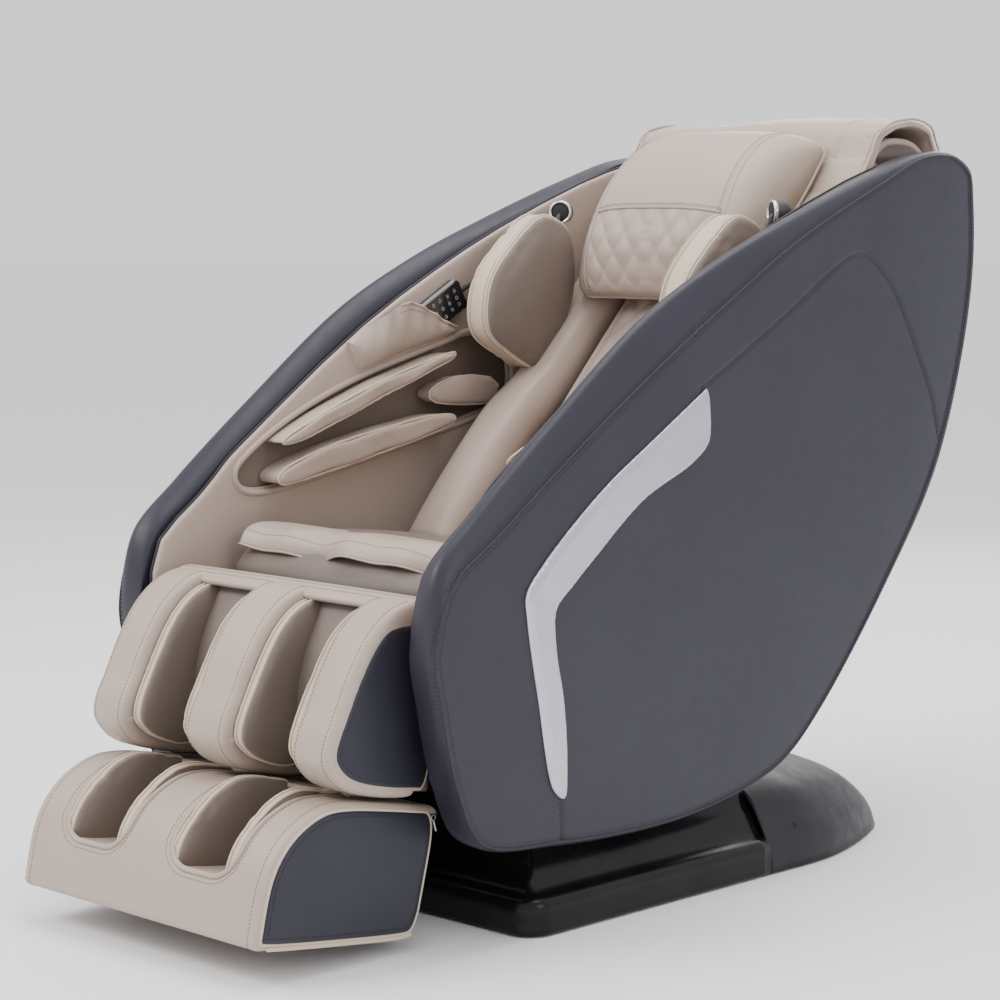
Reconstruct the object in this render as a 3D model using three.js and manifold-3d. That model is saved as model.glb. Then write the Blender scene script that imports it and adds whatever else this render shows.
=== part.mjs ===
// Massage chair: a capsule of two upholstered side shells with the seat and the back between them,
// a leg unit at the front and a low base that the capsule tilts on.
// Millimetres, +Z up. The sitter faces -Y, and +X is the sitter's left.
// The origin is on the floor under the tilt axis, midway between the shells.
import * as THREE from 'three';
import { mergeVertices } from 'three/addons/utils/BufferGeometryUtils.js';
import Module from 'manifold-3d';

const wasm = await Module();
wasm.setup();

// ---------------------------------------------------------------- driving dimensions
const GAP = 0.4;                    // clearance between pieces that touch
const SHELL_OUT = 392;              // outer face of a shell, from the middle plane
const SHELL_IN = 332;               // inner face of a shell
const PANEL_IN = 318;               // inner face of an arm panel
const PAD_IN = 268;                 // inner edge of the arm pads
const ELBOW_IN = 286;               // inner edge of the elbow pads, beside the back
const SEAT_HALF = 280;              // half-width of the seat's front
const CUSHION_HALF = 298;           // half-width of the seat cushion
const SEAT_FLAP_HALF = 270;         // half-width of the flap over its front
const BACK_HALF = 264;              // half-width of the back
const STRIP_IN = 151;               // inner edge of a back side bolster
const LEG_HALF = 294;               // half-width of the leg unit
const LEG_SIDE = 24;                // thickness of a leg unit side panel
const TILT_AXIS = [0, 450];         // (y, z) of the capsule's pivot on the base
const RECLINE_AXIS = [-120, 455];   // (y, z) of the back's pivot on the seat frame
const LEG_AXIS = [-640, 500];       // (y, z) of the leg unit's pivot
const RAIL_ORIGIN = [-60, 470];     // (y, z) where the massage rails start
const RAIL_ANGLE = 0.797;           // lean of the rails above level, radians
const FOOT_SLOPE = 0.175;           // the foot unit slides this far off plumb, radians
const POST_X = 238;                 // middle of a tilt post
const POST_HALF = 6;                // half its thickness
const MEMBER_X = 258;               // middle of a seat frame side member
const MEMBER_HALF = 6;              // half its thickness
const PIN_R = 12;                   // tilt pins
const PIVOT_R = 10;                 // recline and leg pins
const PIN_PLAY = 0.6;               // radial clearance in every bore
const DRIVE_PIN_R = 7;              // pins at the ends of the actuators
const DRIVE_PIN_HEAD = 3;           // thickness of their heads
const ROD_PLAY = 1.2;               // radial clearance of a pin in a rod's eye
const FORK_THICK = 6;               // thickness of a fork's plate
const MOTOR_FORK = 25;              // half the space between the plates at a motor's end
const ROD_FORK = 15;                // and at a rod's end
const LEG_DRIVE_X = 110;            // the leg unit's actuator stands to one side
const TILT_DRIVE = [[-380, 72], [-330, 392]];    // (y, z) of each actuator's two pivots
const RECLINE_DRIVE = [[-62, 300], [130, 572]];
const LEG_DRIVE = [[-277, 368], [-640, 334]];

// ---------------------------------------------------------------- materials
const paint = (name, color, roughness, metalness = 0) =>
  new THREE.MeshStandardMaterial({ name, color, roughness, metalness });
const SHELL = paint('shell_leatherette', 0x4a4754, 0.45);
const TAUPE = paint('taupe_leatherette', 0xb3a196, 0.5);
const TAUPE_DARK = paint('dark_taupe_leatherette', 0x8b7b73, 0.55);
const SLATE = paint('slate_leatherette', 0x4b4a57, 0.45);
const SILVER = paint('silver_trim', 0xb9babd, 0.3, 0.8);
const GLOSS_BLACK = paint('gloss_black_plastic', 0x0b0b0d, 0.15);
const SATIN_BLACK = paint('satin_black_plastic', 0x26262b, 0.4);
const STEEL = paint('painted_steel', 0x33353a, 0.5, 0.6);
const ZINC = paint('zinc_steel', 0xa7a9ac, 0.35, 0.9);
const RUBBER = paint('rubber', 0x1a1a1a, 0.9);
const CHROME = paint('chrome_ring', 0xd0d2d6, 0.1, 1);
const KEY = paint('key_rubber', 0x2b2c30, 0.7);

// ---------------------------------------------------------------- mesh helpers
const chair = new THREE.Group();

/** Adds a named mesh to a parent and returns it. */
function add(name, geometry, material, parent = chair) {
  const mesh = new THREE.Mesh(geometry, material);
  mesh.name = name;
  parent.add(mesh);
  return mesh;
}

/** Positions only, with shared corners merged, which is what a solid needs. */
function welded(geometry) {
  const plain = geometry.clone();
  for (const key of Object.keys(plain.attributes)) {
    if (key !== 'position') plain.deleteAttribute(key);
  }
  return mergeVertices(plain, 1e-4);
}

function toSolid(geometry) {
  const mesh = welded(geometry);
  return new wasm.Manifold(new wasm.Mesh({
    numProp: 3,
    vertProperties: new Float32Array(mesh.attributes.position.array),
    triVerts: new Uint32Array(mesh.index.array),
  }));
}

function toGeometry(solid) {
  const mesh = solid.getMesh();
  const geometry = new THREE.BufferGeometry();
  geometry.setAttribute('position', new THREE.BufferAttribute(mesh.vertProperties, 3));
  geometry.setIndex(new THREE.BufferAttribute(mesh.triVerts, 1));
  return geometry;
}

/** Joins the geometries of the first list and cuts away those of the second. */
function join(pieces, cuts = []) {
  let solid = toSolid(pieces[0]);
  for (const piece of pieces.slice(1)) solid = solid.add(toSolid(piece));
  for (const cut of cuts) solid = solid.subtract(toSolid(cut));
  return toGeometry(solid);
}

/** A box from its lowest to its highest corner. */
function box(low, high) {
  const size = high.map((value, i) => value - low[i]);
  const middle = high.map((value, i) => (value + low[i]) / 2);
  return new THREE.BoxGeometry(...size).translate(...middle);
}

/** The same box on the +X side (side = 1) or mirrored to the -X side (side = -1). */
function sideBox(side, low, high) {
  const ends = [low[0] * side, high[0] * side].sort((a, b) => a - b);
  return box([ends[0], low[1], low[2]], [ends[1], high[1], high[2]]);
}

/** A cylinder along X, from x0 to x1, at (y, z). */
function rod(radius, x0, x1, y, z, sides = 12) {
  return new THREE.CylinderGeometry(radius, radius, Math.abs(x1 - x0), sides)
    .rotateZ(Math.PI / 2)
    .translate((x0 + x1) / 2, y, z);
}

/** Turns an extrusion drawn in (y, z) so that its depth runs along +X. */
function alongX(geometry) {
  const axes = new THREE.Matrix4().makeBasis(
    new THREE.Vector3(0, 1, 0), new THREE.Vector3(0, 0, 1), new THREE.Vector3(1, 0, 0));
  return geometry.applyMatrix4(axes);
}

function outlineShape(points) {
  return new THREE.Shape(points.map(([a, b]) => new THREE.Vector2(a, b)));
}

/** A plate or pad: a (y, z) outline from x0 to x1, with its edges rounded by `soft`. */
function slab(points, x0, x1, soft = 0, hole = null) {
  const shape = outlineShape(points);
  if (hole) shape.holes.push(outlineShape(hole));
  const low = Math.min(x0, x1);
  const depth = Math.abs(x1 - x0);
  const geometry = new THREE.ExtrudeGeometry(shape, {
    depth: depth - 2 * soft,
    bevelEnabled: soft > 0,
    bevelThickness: soft,
    bevelSize: soft,
    bevelOffset: -soft,
    bevelSegments: 2,
    steps: 1,
  });
  return alongX(geometry).translate(low + soft, 0, 0);
}

/** Joins rings of equal length, given as lists of [x, y, z], into one closed body. */
function loft(rings, closed = false) {
  const count = rings[0].length;
  const positions = rings.flat(2);
  const index = [];
  const at = (ring, i) => (ring % rings.length) * count + (i % count);
  const spans = closed ? rings.length : rings.length - 1;
  for (let ring = 0; ring < spans; ring += 1) {
    for (let i = 0; i < count; i += 1) {
      index.push(at(ring, i), at(ring, i + 1), at(ring + 1, i));
      index.push(at(ring, i + 1), at(ring + 1, i + 1), at(ring + 1, i));
    }
  }
  if (!closed) {
    index.push(...cap(rings[0], 0, true));
    index.push(...cap(rings.at(-1), (rings.length - 1) * count, false));
  }
  const geometry = new THREE.BufferGeometry();
  geometry.setAttribute('position', new THREE.Float32BufferAttribute(positions, 3));
  geometry.setIndex(index);
  return outward(withoutSlivers(geometry));
}

/** Triangles over a flat ring, seen along the axis that its area faces most. */
function cap(ring, start, flip) {
  const normal = new THREE.Vector3();
  ring.forEach((point, i) => {
    const next = ring[(i + 1) % ring.length];
    normal.x += (point[1] - next[1]) * (point[2] + next[2]);
    normal.y += (point[2] - next[2]) * (point[0] + next[0]);
    normal.z += (point[0] - next[0]) * (point[1] + next[1]);
  });
  const sizes = normal.toArray().map(Math.abs);
  const drop = sizes.indexOf(Math.max(...sizes));
  const keep = [1, 2, 0, 1].slice(drop, drop + 2);
  const flat = ring.map((point) => new THREE.Vector2(point[keep[0]], point[keep[1]]));
  const facesUp = normal.getComponent(drop) > 0;
  const triangles = THREE.ShapeUtils.triangulateShape(flat, []);
  return triangles.flatMap(([a, b, c]) => {
    const turn = THREE.ShapeUtils.isClockWise([flat[a], flat[b], flat[c]]) === facesUp;
    const [p, q] = turn !== flip ? [c, b] : [b, c];
    return [a + start, p + start, q + start];
  });
}

function withoutSlivers(geometry) {
  const mesh = welded(geometry);
  const index = [...mesh.index.array];
  const kept = [];
  for (let i = 0; i < index.length; i += 3) {
    const [a, b, c] = index.slice(i, i + 3);
    if (a !== b && b !== c && c !== a) kept.push(a, b, c);
  }
  mesh.setIndex(kept);
  return mesh;
}

/** Turns a closed body inside out if its faces point in. */
function outward(geometry) {
  const place = geometry.attributes.position;
  const corner = [0, 1, 2].map(() => new THREE.Vector3());
  let volume = 0;
  const index = geometry.index.array;
  for (let i = 0; i < index.length; i += 3) {
    corner.forEach((v, k) => v.fromBufferAttribute(place, index[i + k]));
    volume += corner[0].dot(corner[1].cross(corner[2]));
  }
  if (volume < 0) geometry.setIndex([...index].reverse());
  return geometry;
}

// A mirrored copy swaps left and right and keeps the faces pointing out.
function mirrored(geometry) {
  const copy = welded(geometry).scale(-1, 1, 1);
  copy.setIndex([...copy.index.array].reverse());
  return copy;
}

/** Adds NAME_left at +X and NAME_right at -X. */
function addPair(name, geometry, material, parent = chair) {
  add(`${name}_left`, geometry, material, parent);
  add(`${name}_right`, mirrored(geometry), material, parent);
}

/** Points shifted along the outward normal of a closed (y, z) outline drawn anticlockwise. */
function grown(points, distance) {
  return points.map(([y, z], i) => {
    const [y0, z0] = points.at(i - 1);
    const [y1, z1] = points[(i + 1) % points.length];
    const length = Math.hypot(y1 - y0, z1 - z0);
    return [y + (z1 - z0) / length * distance, z - (y1 - y0) / length * distance];
  });
}

// ---------------------------------------------------------------- side shells
// The crest of the rim as [inset of the outer seam, y, z]: the rim rolls from this line
// down to the outer seam, deeply over the arm and hardly at all under the seat.
const RIM = [
  [6, -750, 484], [32, -730, 606], [50, -638, 692], [65, -455, 835], [80, -257, 977],
  [66, -68, 1070], [41, 106, 1136], [23, 333, 1212], [8, 490, 1254], [15, 582, 1258],
  [30, 645, 1230], [34, 660, 1165], [34, 662, 1050], [34, 634, 894], [32, 551, 674],
  [26, 393, 465], [20, 208, 269], [14, 110, 198], [12, 17, 164], [12, -187, 133],
  [12, -476, 140], [8, -650, 171], [5, -703, 266], [8, -738, 396],
];
const RIM_STATIONS = 48;
const rimCurve = new THREE.CatmullRomCurve3(
  RIM.map((p) => new THREE.Vector3(...p)), true, 'centripetal');
const rimLine = rimCurve.getPoints(RIM_STATIONS).slice(0, RIM_STATIONS);

/** The shell's outline at a share of the seam's inset, plus a fixed extra inset. */
function shellOutline(share, extra = 0, least = 0) {
  return rimLine.map((point, i) => {
    const before = rimLine.at(i - 1);
    const after = rimLine[(i + 1) % RIM_STATIONS];
    const length = Math.hypot(after.y - before.y, after.z - before.z);
    const inset = Math.max(least, point.x * share + extra);
    return [
      point.y + (after.z - before.z) / length * inset,
      point.z - (after.y - before.y) / length * inset,
    ];
  });
}

// [x, share of the seam's inset] from the inner face round the crest to the outer face
const RIM_SECTION = [[SHELL_IN, 0.36], [348, 0.14], [366, 0], [380, 0.3], [SHELL_OUT, 1]];

function sideShell() {
  return loft(RIM_SECTION.map(([x, share]) => shellOutline(share).map(([y, z]) => [x, y, z])));
}

// A boomerang strip let onto the outer face, on a shallow seat of its own.
const TRIM = [
  [-128, 860], [-122, 773], [-162, 739], [-286, 685], [-406, 598], [-452, 562], [-491, 526],
  [-491, 463], [-474, 380], [-467, 283], [-474, 222], [-497, 239], [-532, 388], [-557, 518],
  [-559, 557], [-521, 601], [-383, 709], [-263, 781],
];
const TRIM_THICK = 4;

// ---------------------------------------------------------------- arms
// Where the arm rests: a long opening in the arm panel, with a pad above and a pad below.
const CHANNEL = [
  [-524, 664], [-550, 690], [-536, 716], [-435, 780], [-268, 848], [-52, 902], [41, 930],
  [126, 900], [139, 812], [94, 781], [-165, 725], [-442, 668],
].reverse();
const ARM_UPPER = [
  [-479, 747], [-431, 752], [-368, 775], [-291, 802], [-211, 831], [-101, 867], [-59, 880],
  [-55, 893], [-268, 837], [-440, 769],
];
const ARM_LOWER = [
  [-479, 676], [-442, 681], [-328, 702], [-165, 736], [-63, 758], [-55, 776], [-135, 774],
  [-217, 760], [-323, 744], [-414, 722], [-479, 698],
];
const ELBOW = [
  [-99, 803], [-35, 794], [69, 792], [79, 836], [-17, 848], [-97, 828],
];
const ARM_BOTTOM = 400;             // lowest edge of an arm panel
const LIP_WIDE = 11;                // width of the rolled lip round the channel
const LIP_THICK = 8;

function armPanel() {
  const outline = shellOutline(0.5, 8, 20).filter(([y, z]) => z > ARM_BOTTOM && y < 600);
  return slab(outline, PANEL_IN, SHELL_IN - GAP, 0, CHANNEL);
}

function armLip() {
  const inner = grown(CHANNEL, 1);
  const outer = grown(CHANNEL, LIP_WIDE);
  return slab(outer, PANEL_IN - GAP - LIP_THICK, PANEL_IN - GAP, 0, inner);
}

// ---------------------------------------------------------------- remote and its pocket
const REMOTE = { length: 135, width: 62, thick: 20, x: -305, y: -68.4, z: 969.7, lean: 0.51 };
const POCKET = [
  [-287, 927], [-265, 864], [-159, 891], [-55, 918], [-13, 939], [-57, 952], [-125, 980],
  [-171, 992],
];
const POCKET_IN = -280;
const POCKET_PLAY = 3;

/** A place on the remote: along its length, across its width and out of its face. */
function onRemote(geometry) {
  return geometry.rotateX(REMOTE.lean).translate(REMOTE.x, REMOTE.y, REMOTE.z);
}

function remoteBody() {
  const { length, width, thick } = REMOTE;
  const round = 12;
  const end = length / 2;
  const side = width / 2;
  const outline = [
    [-end, -side + round], [-end + round, -side], [end - round, -side], [end, -side + round],
    [end, side - round], [end - round, side], [-end + round, side], [-end, side - round],
  ];
  const seats = KEYS.map(([y, z]) => box(
    [thick / 2 - 3, y - KEY_HALF - GAP, z - KEY_HALF - GAP],
    [thick / 2 + 1, y + KEY_HALF + GAP, z + KEY_HALF + GAP]));
  return onRemote(join([slab(outline, -thick / 2, thick / 2, 3)], seats));
}

const KEY_HALF = 4.5;
const KEY_TRAVEL = 1;
const KEYS = [[45, -14], [45, 14], [24, -14], [24, 14]];

function remoteKey([y, z]) {
  const floor = REMOTE.thick / 2 - 3 + KEY_TRAVEL + GAP;
  return onRemote(box(
    [floor, y - KEY_HALF, z - KEY_HALF],
    [REMOTE.thick / 2 + 1.5, y + KEY_HALF, z + KEY_HALF]));
}

function remotePocket() {
  const { length, width, thick } = REMOTE;
  const space = onRemote(box(
    [-thick / 2 - POCKET_PLAY, -length / 2 - POCKET_PLAY, -width / 2 - POCKET_PLAY],
    [thick / 2 + POCKET_PLAY, length, width / 2 + POCKET_PLAY]));
  return join([slab(POCKET, -PANEL_IN + GAP, POCKET_IN, 4)], [space]);
}

// The lead leaves the top of the remote, hangs in a loop and goes up into its gland.
const CORD_R = 2.5;
const CORD = [
  [-305, -8.8, 1003.1], [-305, 2, 1009], [-304.5, 16, 1015], [-304, 33, 1018], [-304, 51, 1014],
  [-304, 69, 1000], [-304, 84, 978], [-304, 96, 948], [-304, 105, 915], [-304, 115, 885],
  [-304, 131, 865], [-304, 151, 860], [-304, 170, 870], [-304, 182, 895], [-304, 187, 925],
  [-304, 189, 955],
];
const CORD_STEPS = 44;
const GLAND = { x: -304, y: 189, low: 955 + GAP, high: 985, r: 6 };

function remoteCord() {
  const path = new THREE.CatmullRomCurve3(CORD.map((p) => new THREE.Vector3(...p)));
  const section = new THREE.Shape().absarc(0, 0, CORD_R, 0, 2 * Math.PI);
  return new THREE.ExtrudeGeometry(section, {
    steps: CORD_STEPS, extrudePath: path, curveSegments: 4, bevelEnabled: false,
  });
}

function cordGland() {
  const { x, y, low, high, r } = GLAND;
  const sleeve = new THREE.CylinderGeometry(r, r * 0.7, high - low, 12)
    .rotateX(Math.PI / 2)
    .translate(x, y, (low + high) / 2);
  return join([sleeve, box([-PANEL_IN + GAP, y - 9, high - 12], [x, y + 9, high + 6])]);
}

// ---------------------------------------------------------------- seat
const SEAT_CUSHION = [
  [-486, 484], [-200, 484], [-196, 530], [-212, 550], [-300, 572], [-486, 584],
];
const SEAT_BOLSTER = [
  [-552, 500], [-489, 484], [-489, 584], [-510, 589], [-534, 586], [-550, 570],
];
const SEAT_FLAP = [
  [-560, 572], [-554, 590], [-538, 600], [-470, 602], [-380, 592], [-380, 582.5], [-484, 587],
  [-510, 592], [-535, 589.5], [-553, 573],
].reverse();
const LEG_EYE = 12;                 // radius of the leg pivot's eye on the seat frame

/** A headed pin fixed in a fork whose plates stand `off` to each side of x. */
function drivePin(x, off, [y, z]) {
  const end = off + FORK_THICK;
  const heads = pair((side) => rod(DRIVE_PIN_R + 3, x + side * (end - 1),
    x + side * (end + DRIVE_PIN_HEAD), y, z));
  return [rod(DRIVE_PIN_R, x - end, x + end, y, z), ...heads];
}

/** The hole for such a pin, through both plates. */
function pinHole(x, off, [y, z]) {
  const end = off + FORK_THICK + 2;
  return rod(DRIVE_PIN_R + GAP, x - end, x + end, y, z);
}

/** One plate of a fork at x, standing `off` to a side of it, between two (y, z) corners. */
function forkPlate(side, x, off, [y0, z0], [y1, z1]) {
  const near = x + side * off;
  const far = x + side * (off + FORK_THICK);
  return box([Math.min(near, far), y0, z0], [Math.max(near, far), y1, z1]);
}

function seatFrame() {
  const parts = [];
  const holes = [];
  const x0 = MEMBER_X - MEMBER_HALF;
  const x1 = MEMBER_X + MEMBER_HALF;
  for (const side of [1, -1]) {
    parts.push(sideBox(side, [x0, -612, 395], [x1, 40, 475]));
    parts.push(sideBox(side, [x0, LEG_AXIS[0], 488], [x1, -582, 508]));
    parts.push(sideBox(side, [x0, -612, 470], [x1, -582, 500]));
    parts.push(rod(LEG_EYE, side * x0, side * x1, ...LEG_AXIS));
    parts.push(rod(PIN_R, side * (POST_X - 10), side * x1, ...TILT_AXIS));
    parts.push(sideBox(side, [x1 - 1, -520, 405], [PANEL_IN - GAP, -470, 435]));
    parts.push(sideBox(side, [x1 - 1, 0, 405], [PANEL_IN - GAP, 38, 435]));
    holes.push(rod(PIVOT_R - 3 + PIN_PLAY, side * (x0 - 5), side * (x1 + 5), ...LEG_AXIS));
    holes.push(rod(PIVOT_R + PIN_PLAY, side * (x0 - 5), side * (x1 + 5), ...RECLINE_AXIS));
  }
  for (const side of [1, -1]) {
    parts.push(forkPlate(side, 0, ROD_FORK, [-350, 378], [-310, 412]));
    parts.push(forkPlate(side, LEG_DRIVE_X, MOTOR_FORK, [-292, 352], [-262, 412]));
    parts.push(forkPlate(side, 0, MOTOR_FORK, [-78, 285], [-46, 408]));
  }
  parts.push(box([-x1, -590, 446], [x1, -560, 472]));
  parts.push(box([-x1, -345, 410], [x1, -262, 430]));
  parts.push(box([-x1, -75, 404], [x1, -45, 426]));
  parts.push(...drivePin(LEG_DRIVE_X, MOTOR_FORK, LEG_DRIVE[0]));
  parts.push(...drivePin(0, MOTOR_FORK, RECLINE_DRIVE[0]));
  holes.push(pinHole(0, ROD_FORK, TILT_DRIVE[1]));
  return join(parts, holes);
}

// ---------------------------------------------------------------- back, in the rails' own frame
// Local Y runs up along the rails and local Z points out towards the sitter.
const back = new THREE.Group();
back.position.set(0, ...RAIL_ORIGIN);
back.rotation.x = RAIL_ANGLE;
chair.add(back);

/** A chair point (y, z) in the rails' frame. */
function onRails([y, z]) {
  const dy = y - RAIL_ORIGIN[0];
  const dz = z - RAIL_ORIGIN[1];
  const c = Math.cos(RAIL_ANGLE);
  const s = Math.sin(RAIL_ANGLE);
  return [dy * c + dz * s, dz * c - dy * s];
}

const RAIL_X = 85;
const RAIL_R = 9;
const RAIL_END = 690;
const BACK_TUBE_X = 214;
const BACK_TUBE_HALF = 13;
const CARRIAGE = { low: 20, high: 130, half: 74, under: -30, over: 8 };
const CARRIAGE_TRAVEL = 500;
const ROLLER = { x: 44, r: 22, wide: 26, along: 75, out: 20 };

function backFrame() {
  const parts = [];
  const [pivotAlong, pivotOut] = onRails(RECLINE_AXIS);
  const tubeIn = BACK_TUBE_X - BACK_TUBE_HALF;
  const tubeOut = BACK_TUBE_X + BACK_TUBE_HALF;
  for (const side of [1, -1]) {
    parts.push(sideBox(side, [tubeIn, -70, -14], [tubeOut, RAIL_END + 20, 14]));
    parts.push(sideBox(side, [tubeIn, pivotAlong - 22, -14], [tubeOut, pivotAlong + 22, 46]));
    parts.push(rod(PIVOT_R, side * (tubeOut - 1), side * (MEMBER_X + 12), pivotAlong, pivotOut));
    const rail = new THREE.CylinderGeometry(RAIL_R, RAIL_R, RAIL_END + 40, 12);
    parts.push(rail.translate(side * RAIL_X, RAIL_END / 2, 0));
    parts.push(forkPlate(side, 0, ROD_FORK, [190, -82], [225, -40]));
  }
  for (const along of [-45, RAIL_END - 15]) {
    parts.push(box([-tubeIn - 1, along, -14], [tubeIn + 1, along + 26, 14]));
  }
  parts.push(box([-tubeIn - 1, 190, -48], [tubeIn + 1, 225, -36]));
  for (const side of [1, -1]) {
    parts.push(sideBox(side, [tubeIn - 8, 190, -48], [tubeOut, 225, -10]));
  }
  parts.push(...drivePin(0, ROD_FORK, onRails(RECLINE_DRIVE[1])));
  return join(parts);
}

function carriage() {
  const { low, high, half, under, over } = CARRIAGE;
  const plate = box([-half, low, under], [half, high, over]);
  const well = box([-62, ROLLER.along - 30, -8], [62, ROLLER.along + 30, over + 1]);
  const cheeks = [];
  for (const x of [-66, 60]) {
    cheeks.push(box([x, ROLLER.along - 12, over - 1], [x + 6, ROLLER.along + 12, 30]));
  }
  const holes = [rod(5 + PIN_PLAY, -80, 80, ROLLER.along, ROLLER.out, 12)];
  return join([plate, ...cheeks], [well, ...holes]);
}

function rollers() {
  const { x, r, wide, along, out } = ROLLER;
  const parts = [rod(5, -66, 66, along, out, 12)];
  for (const side of [1, -1]) {
    parts.push(rod(r, side * x - wide / 2, side * x + wide / 2, along, out, 16));
  }
  return join(parts);
}

// The soft pieces of the back are drawn in the chair's frame.
const BACK_PAD = [
  [-180, 545], [-128, 496], [-20, 598], [95, 706], [200, 812], [330, 950], [410, 1045],
  [492, 1150], [448, 1190], [362, 1094], [280, 1000], [150, 860], [45, 748], [-70, 648],
];
const BACK_BOLSTER = [
  [-205, 560], [-150, 506], [-55, 606], [45, 704], [165, 816], [305, 958], [390, 1052],
  [470, 1150], [420, 1198], [330, 1108], [250, 1010], [110, 864], [-10, 770], [-110, 668],
];
const WING = [
  [-30, 935], [0, 908], [75, 868], [98, 865], [196, 970], [196, 1108], [128, 1142],
  [92, 1134], [40, 1094], [-16, 1040], [-34, 985],
];
const WING_X = [202, 268];
const SPEAKER = { x: 274, y: 240, z: 1150, r: 22, deep: 30, turn: 2.62 };
const PILLOW = [
  [165, 1004], [198, 990], [300, 1090], [392, 1192], [446, 1262], [428, 1290], [343, 1294],
  [280, 1264], [222, 1206], [172, 1122],
];
const PILLOW_HALF = 200;
const PILLOW_AXIS = [440, 1286];
const TOP_FLAP = [
  [434, 1216], [456, 1250], [462, 1276], [476, 1298], [506, 1314], [590, 1318], [634, 1304],
  [652, 1276], [652, 1190], [640, 1190], [638, 1240], [622, 1264], [588, 1274], [522, 1274],
  [486, 1256], [452, 1210],
].reverse();
const FLAP_HALF = 296;
const COVER_INSET = 40;             // the rear cover lies this far inside the shells' crest
const COVER_THICK = 10;
const COVER_LOW = 350;
const COVER_HIGH = 1180;

function backCover() {
  const behind = ([y, z]) => y > 180 + (z - COVER_LOW) * 0.35;
  const inside = (extra) => shellOutline(0, extra)
    .filter(([y, z]) => z > COVER_LOW && z < COVER_HIGH && behind([y, z]));
  const outer = inside(COVER_INSET);
  const inner = inside(COVER_INSET + COVER_THICK).reverse();
  return slab([...outer, ...inner], -PANEL_IN + 4, PANEL_IN - 4);
}

/** A cup that faces the sitter's head, on a post that stands behind the shoulder wing. */
function speaker() {
  const { x, y, z, r, deep, turn } = SPEAKER;
  const profile = [[0, 0], [r * 0.8, 0], [r, deep * 0.6], [r, deep], [r * 0.8, deep + 4],
    [r * 0.7, deep], [0, deep - 4]];
  const bell = new THREE.LatheGeometry(profile.map((p) => new THREE.Vector2(...p)), 20);
  const wingRear = Math.max(...WING.map((p) => p[0])) + GAP;
  const post = box([WING_X[1] - 24, wingRear, 1050], [WING_X[1], wingRear + 14, z]);
  const arm = box([WING_X[1] - 8, wingRear, z - 12], [x + 6, y, z + 6]);
  return join([bell.rotateZ(turn).translate(x, y, z), post, arm]);
}

// ---------------------------------------------------------------- leg unit
const CALF = [
  [-878, 324], [-865, 300], [-838, 278], [-790, 262], [-728, 249], [-656, 242], [-656, 546],
  [-676, 546], [-690, 526], [-727, 528], [-764, 522], [-794, 494], [-825, 448], [-855, 389],
  [-874, 351],
];
const CALF_SIDE = [
  [-878, 324], [-865, 300], [-838, 278], [-790, 262], [-728, 249], [-656, 242], [-656, 505],
  [-690, 524], [-727, 528], [-764, 522], [-794, 494], [-825, 448], [-855, 389], [-874, 351],
];
const CALF_CHANNEL = [
  [-950, 200], [-766, 200], [-778, 262], [-790, 330], [-786, 390], [-768, 450], [-738, 500],
  [-716, 522], [-712, 600], [-950, 600],
];
const FOOT = [
  [-1026, 62], [-938, 48], [-733, 22], [-706, 24], [-690, 49], [-682, 77], [-646, 218],
  [-712, 231], [-769, 242], [-832, 253], [-879, 256], [-915, 246], [-954, 225], [-986, 192],
  [-1007, 150], [-1024, 75],
];
const FOOT_WELL = [
  [-1080, 138], [-1000, 132], [-960, 118], [-900, 108], [-830, 106], [-786, 116], [-766, 150],
  [-762, 320], [-1080, 320],
];
const CHANNEL_X = [50, 208];
const WELL_X = [54, 214];
const FOOT_TRAVEL = 120;
const RAIL_ROD = { x: 130, r: 8, y: -742, low: 190, high: 385 };

/** A rod along the foot unit's slide, between two heights. */
function slideRod(side, radius, low, high) {
  const length = (high - low) / Math.cos(FOOT_SLOPE);
  return new THREE.CylinderGeometry(radius, radius, length, 12)
    .translate(0, length / 2, 0)
    .rotateX(Math.PI / 2 - FOOT_SLOPE)
    .translate(side * RAIL_ROD.x, RAIL_ROD.y + (low - RAIL_ROD.low) * Math.tan(FOOT_SLOPE), low);
}

function pair(make) {
  return [1, -1].map(make);
}

function channelCuts(outline, [x0, x1], soft) {
  return pair((side) => slab(outline, side * x0, side * x1, soft));
}

function calfPad() {
  const half = LEG_HALF - LEG_SIDE - GAP;
  const [y, z] = LEG_AXIS;
  const ears = pair((side) => sideBox(side, [232, -658, z - 14], [250, y + 12, z + 14]));
  const pins = pair((side) => rod(PIVOT_R - 3, side * 249, side * (MEMBER_X + 8), y, z));
  const fork = pair((side) => forkPlate(side, LEG_DRIVE_X, ROD_FORK, [-658, 318], [-622, 352]));
  const bores = pair((side) => slideRod(side, RAIL_ROD.r + PIN_PLAY, 200, RAIL_ROD.high + 8));
  return join([slab(CALF, -half, half), ...ears, ...pins, ...fork],
    [...channelCuts(CALF_CHANNEL, CHANNEL_X, 0), ...bores,
      pinHole(LEG_DRIVE_X, ROD_FORK, LEG_DRIVE[1])]);
}

function footPad() {
  const half = LEG_HALF - LEG_SIDE - GAP;
  const { x, r, low, y } = RAIL_ROD;
  const bores = pair((side) => slideRod(side, r + PIN_PLAY, low, 300));
  const slot = box([-x - 12, y - 10, low - 10], [x + 12, y + 10, low + 10]);
  return join([slab(FOOT, -half, half)], [...channelCuts(FOOT_WELL, WELL_X, 0), ...bores, slot]);
}

function footRails() {
  const { x, r, low, high, y } = RAIL_ROD;
  const bar = box([-x - 11, y - 9, low - 9], [x + 11, y + 9, low + 9]);
  return join([bar, ...pair((side) => slideRod(side, r, low, high))]);
}

// ---------------------------------------------------------------- base
const BASE_HALF = 392;
const BASE_FRONT = -540;
const BASE_SPLIT = 62;              // y where the front skirt meets the rear cover
const WHEEL = { x: 170, y: 470, r: 28, wide: 22, lift: 3 };
const WHEEL_AXLE_R = 6;

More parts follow.
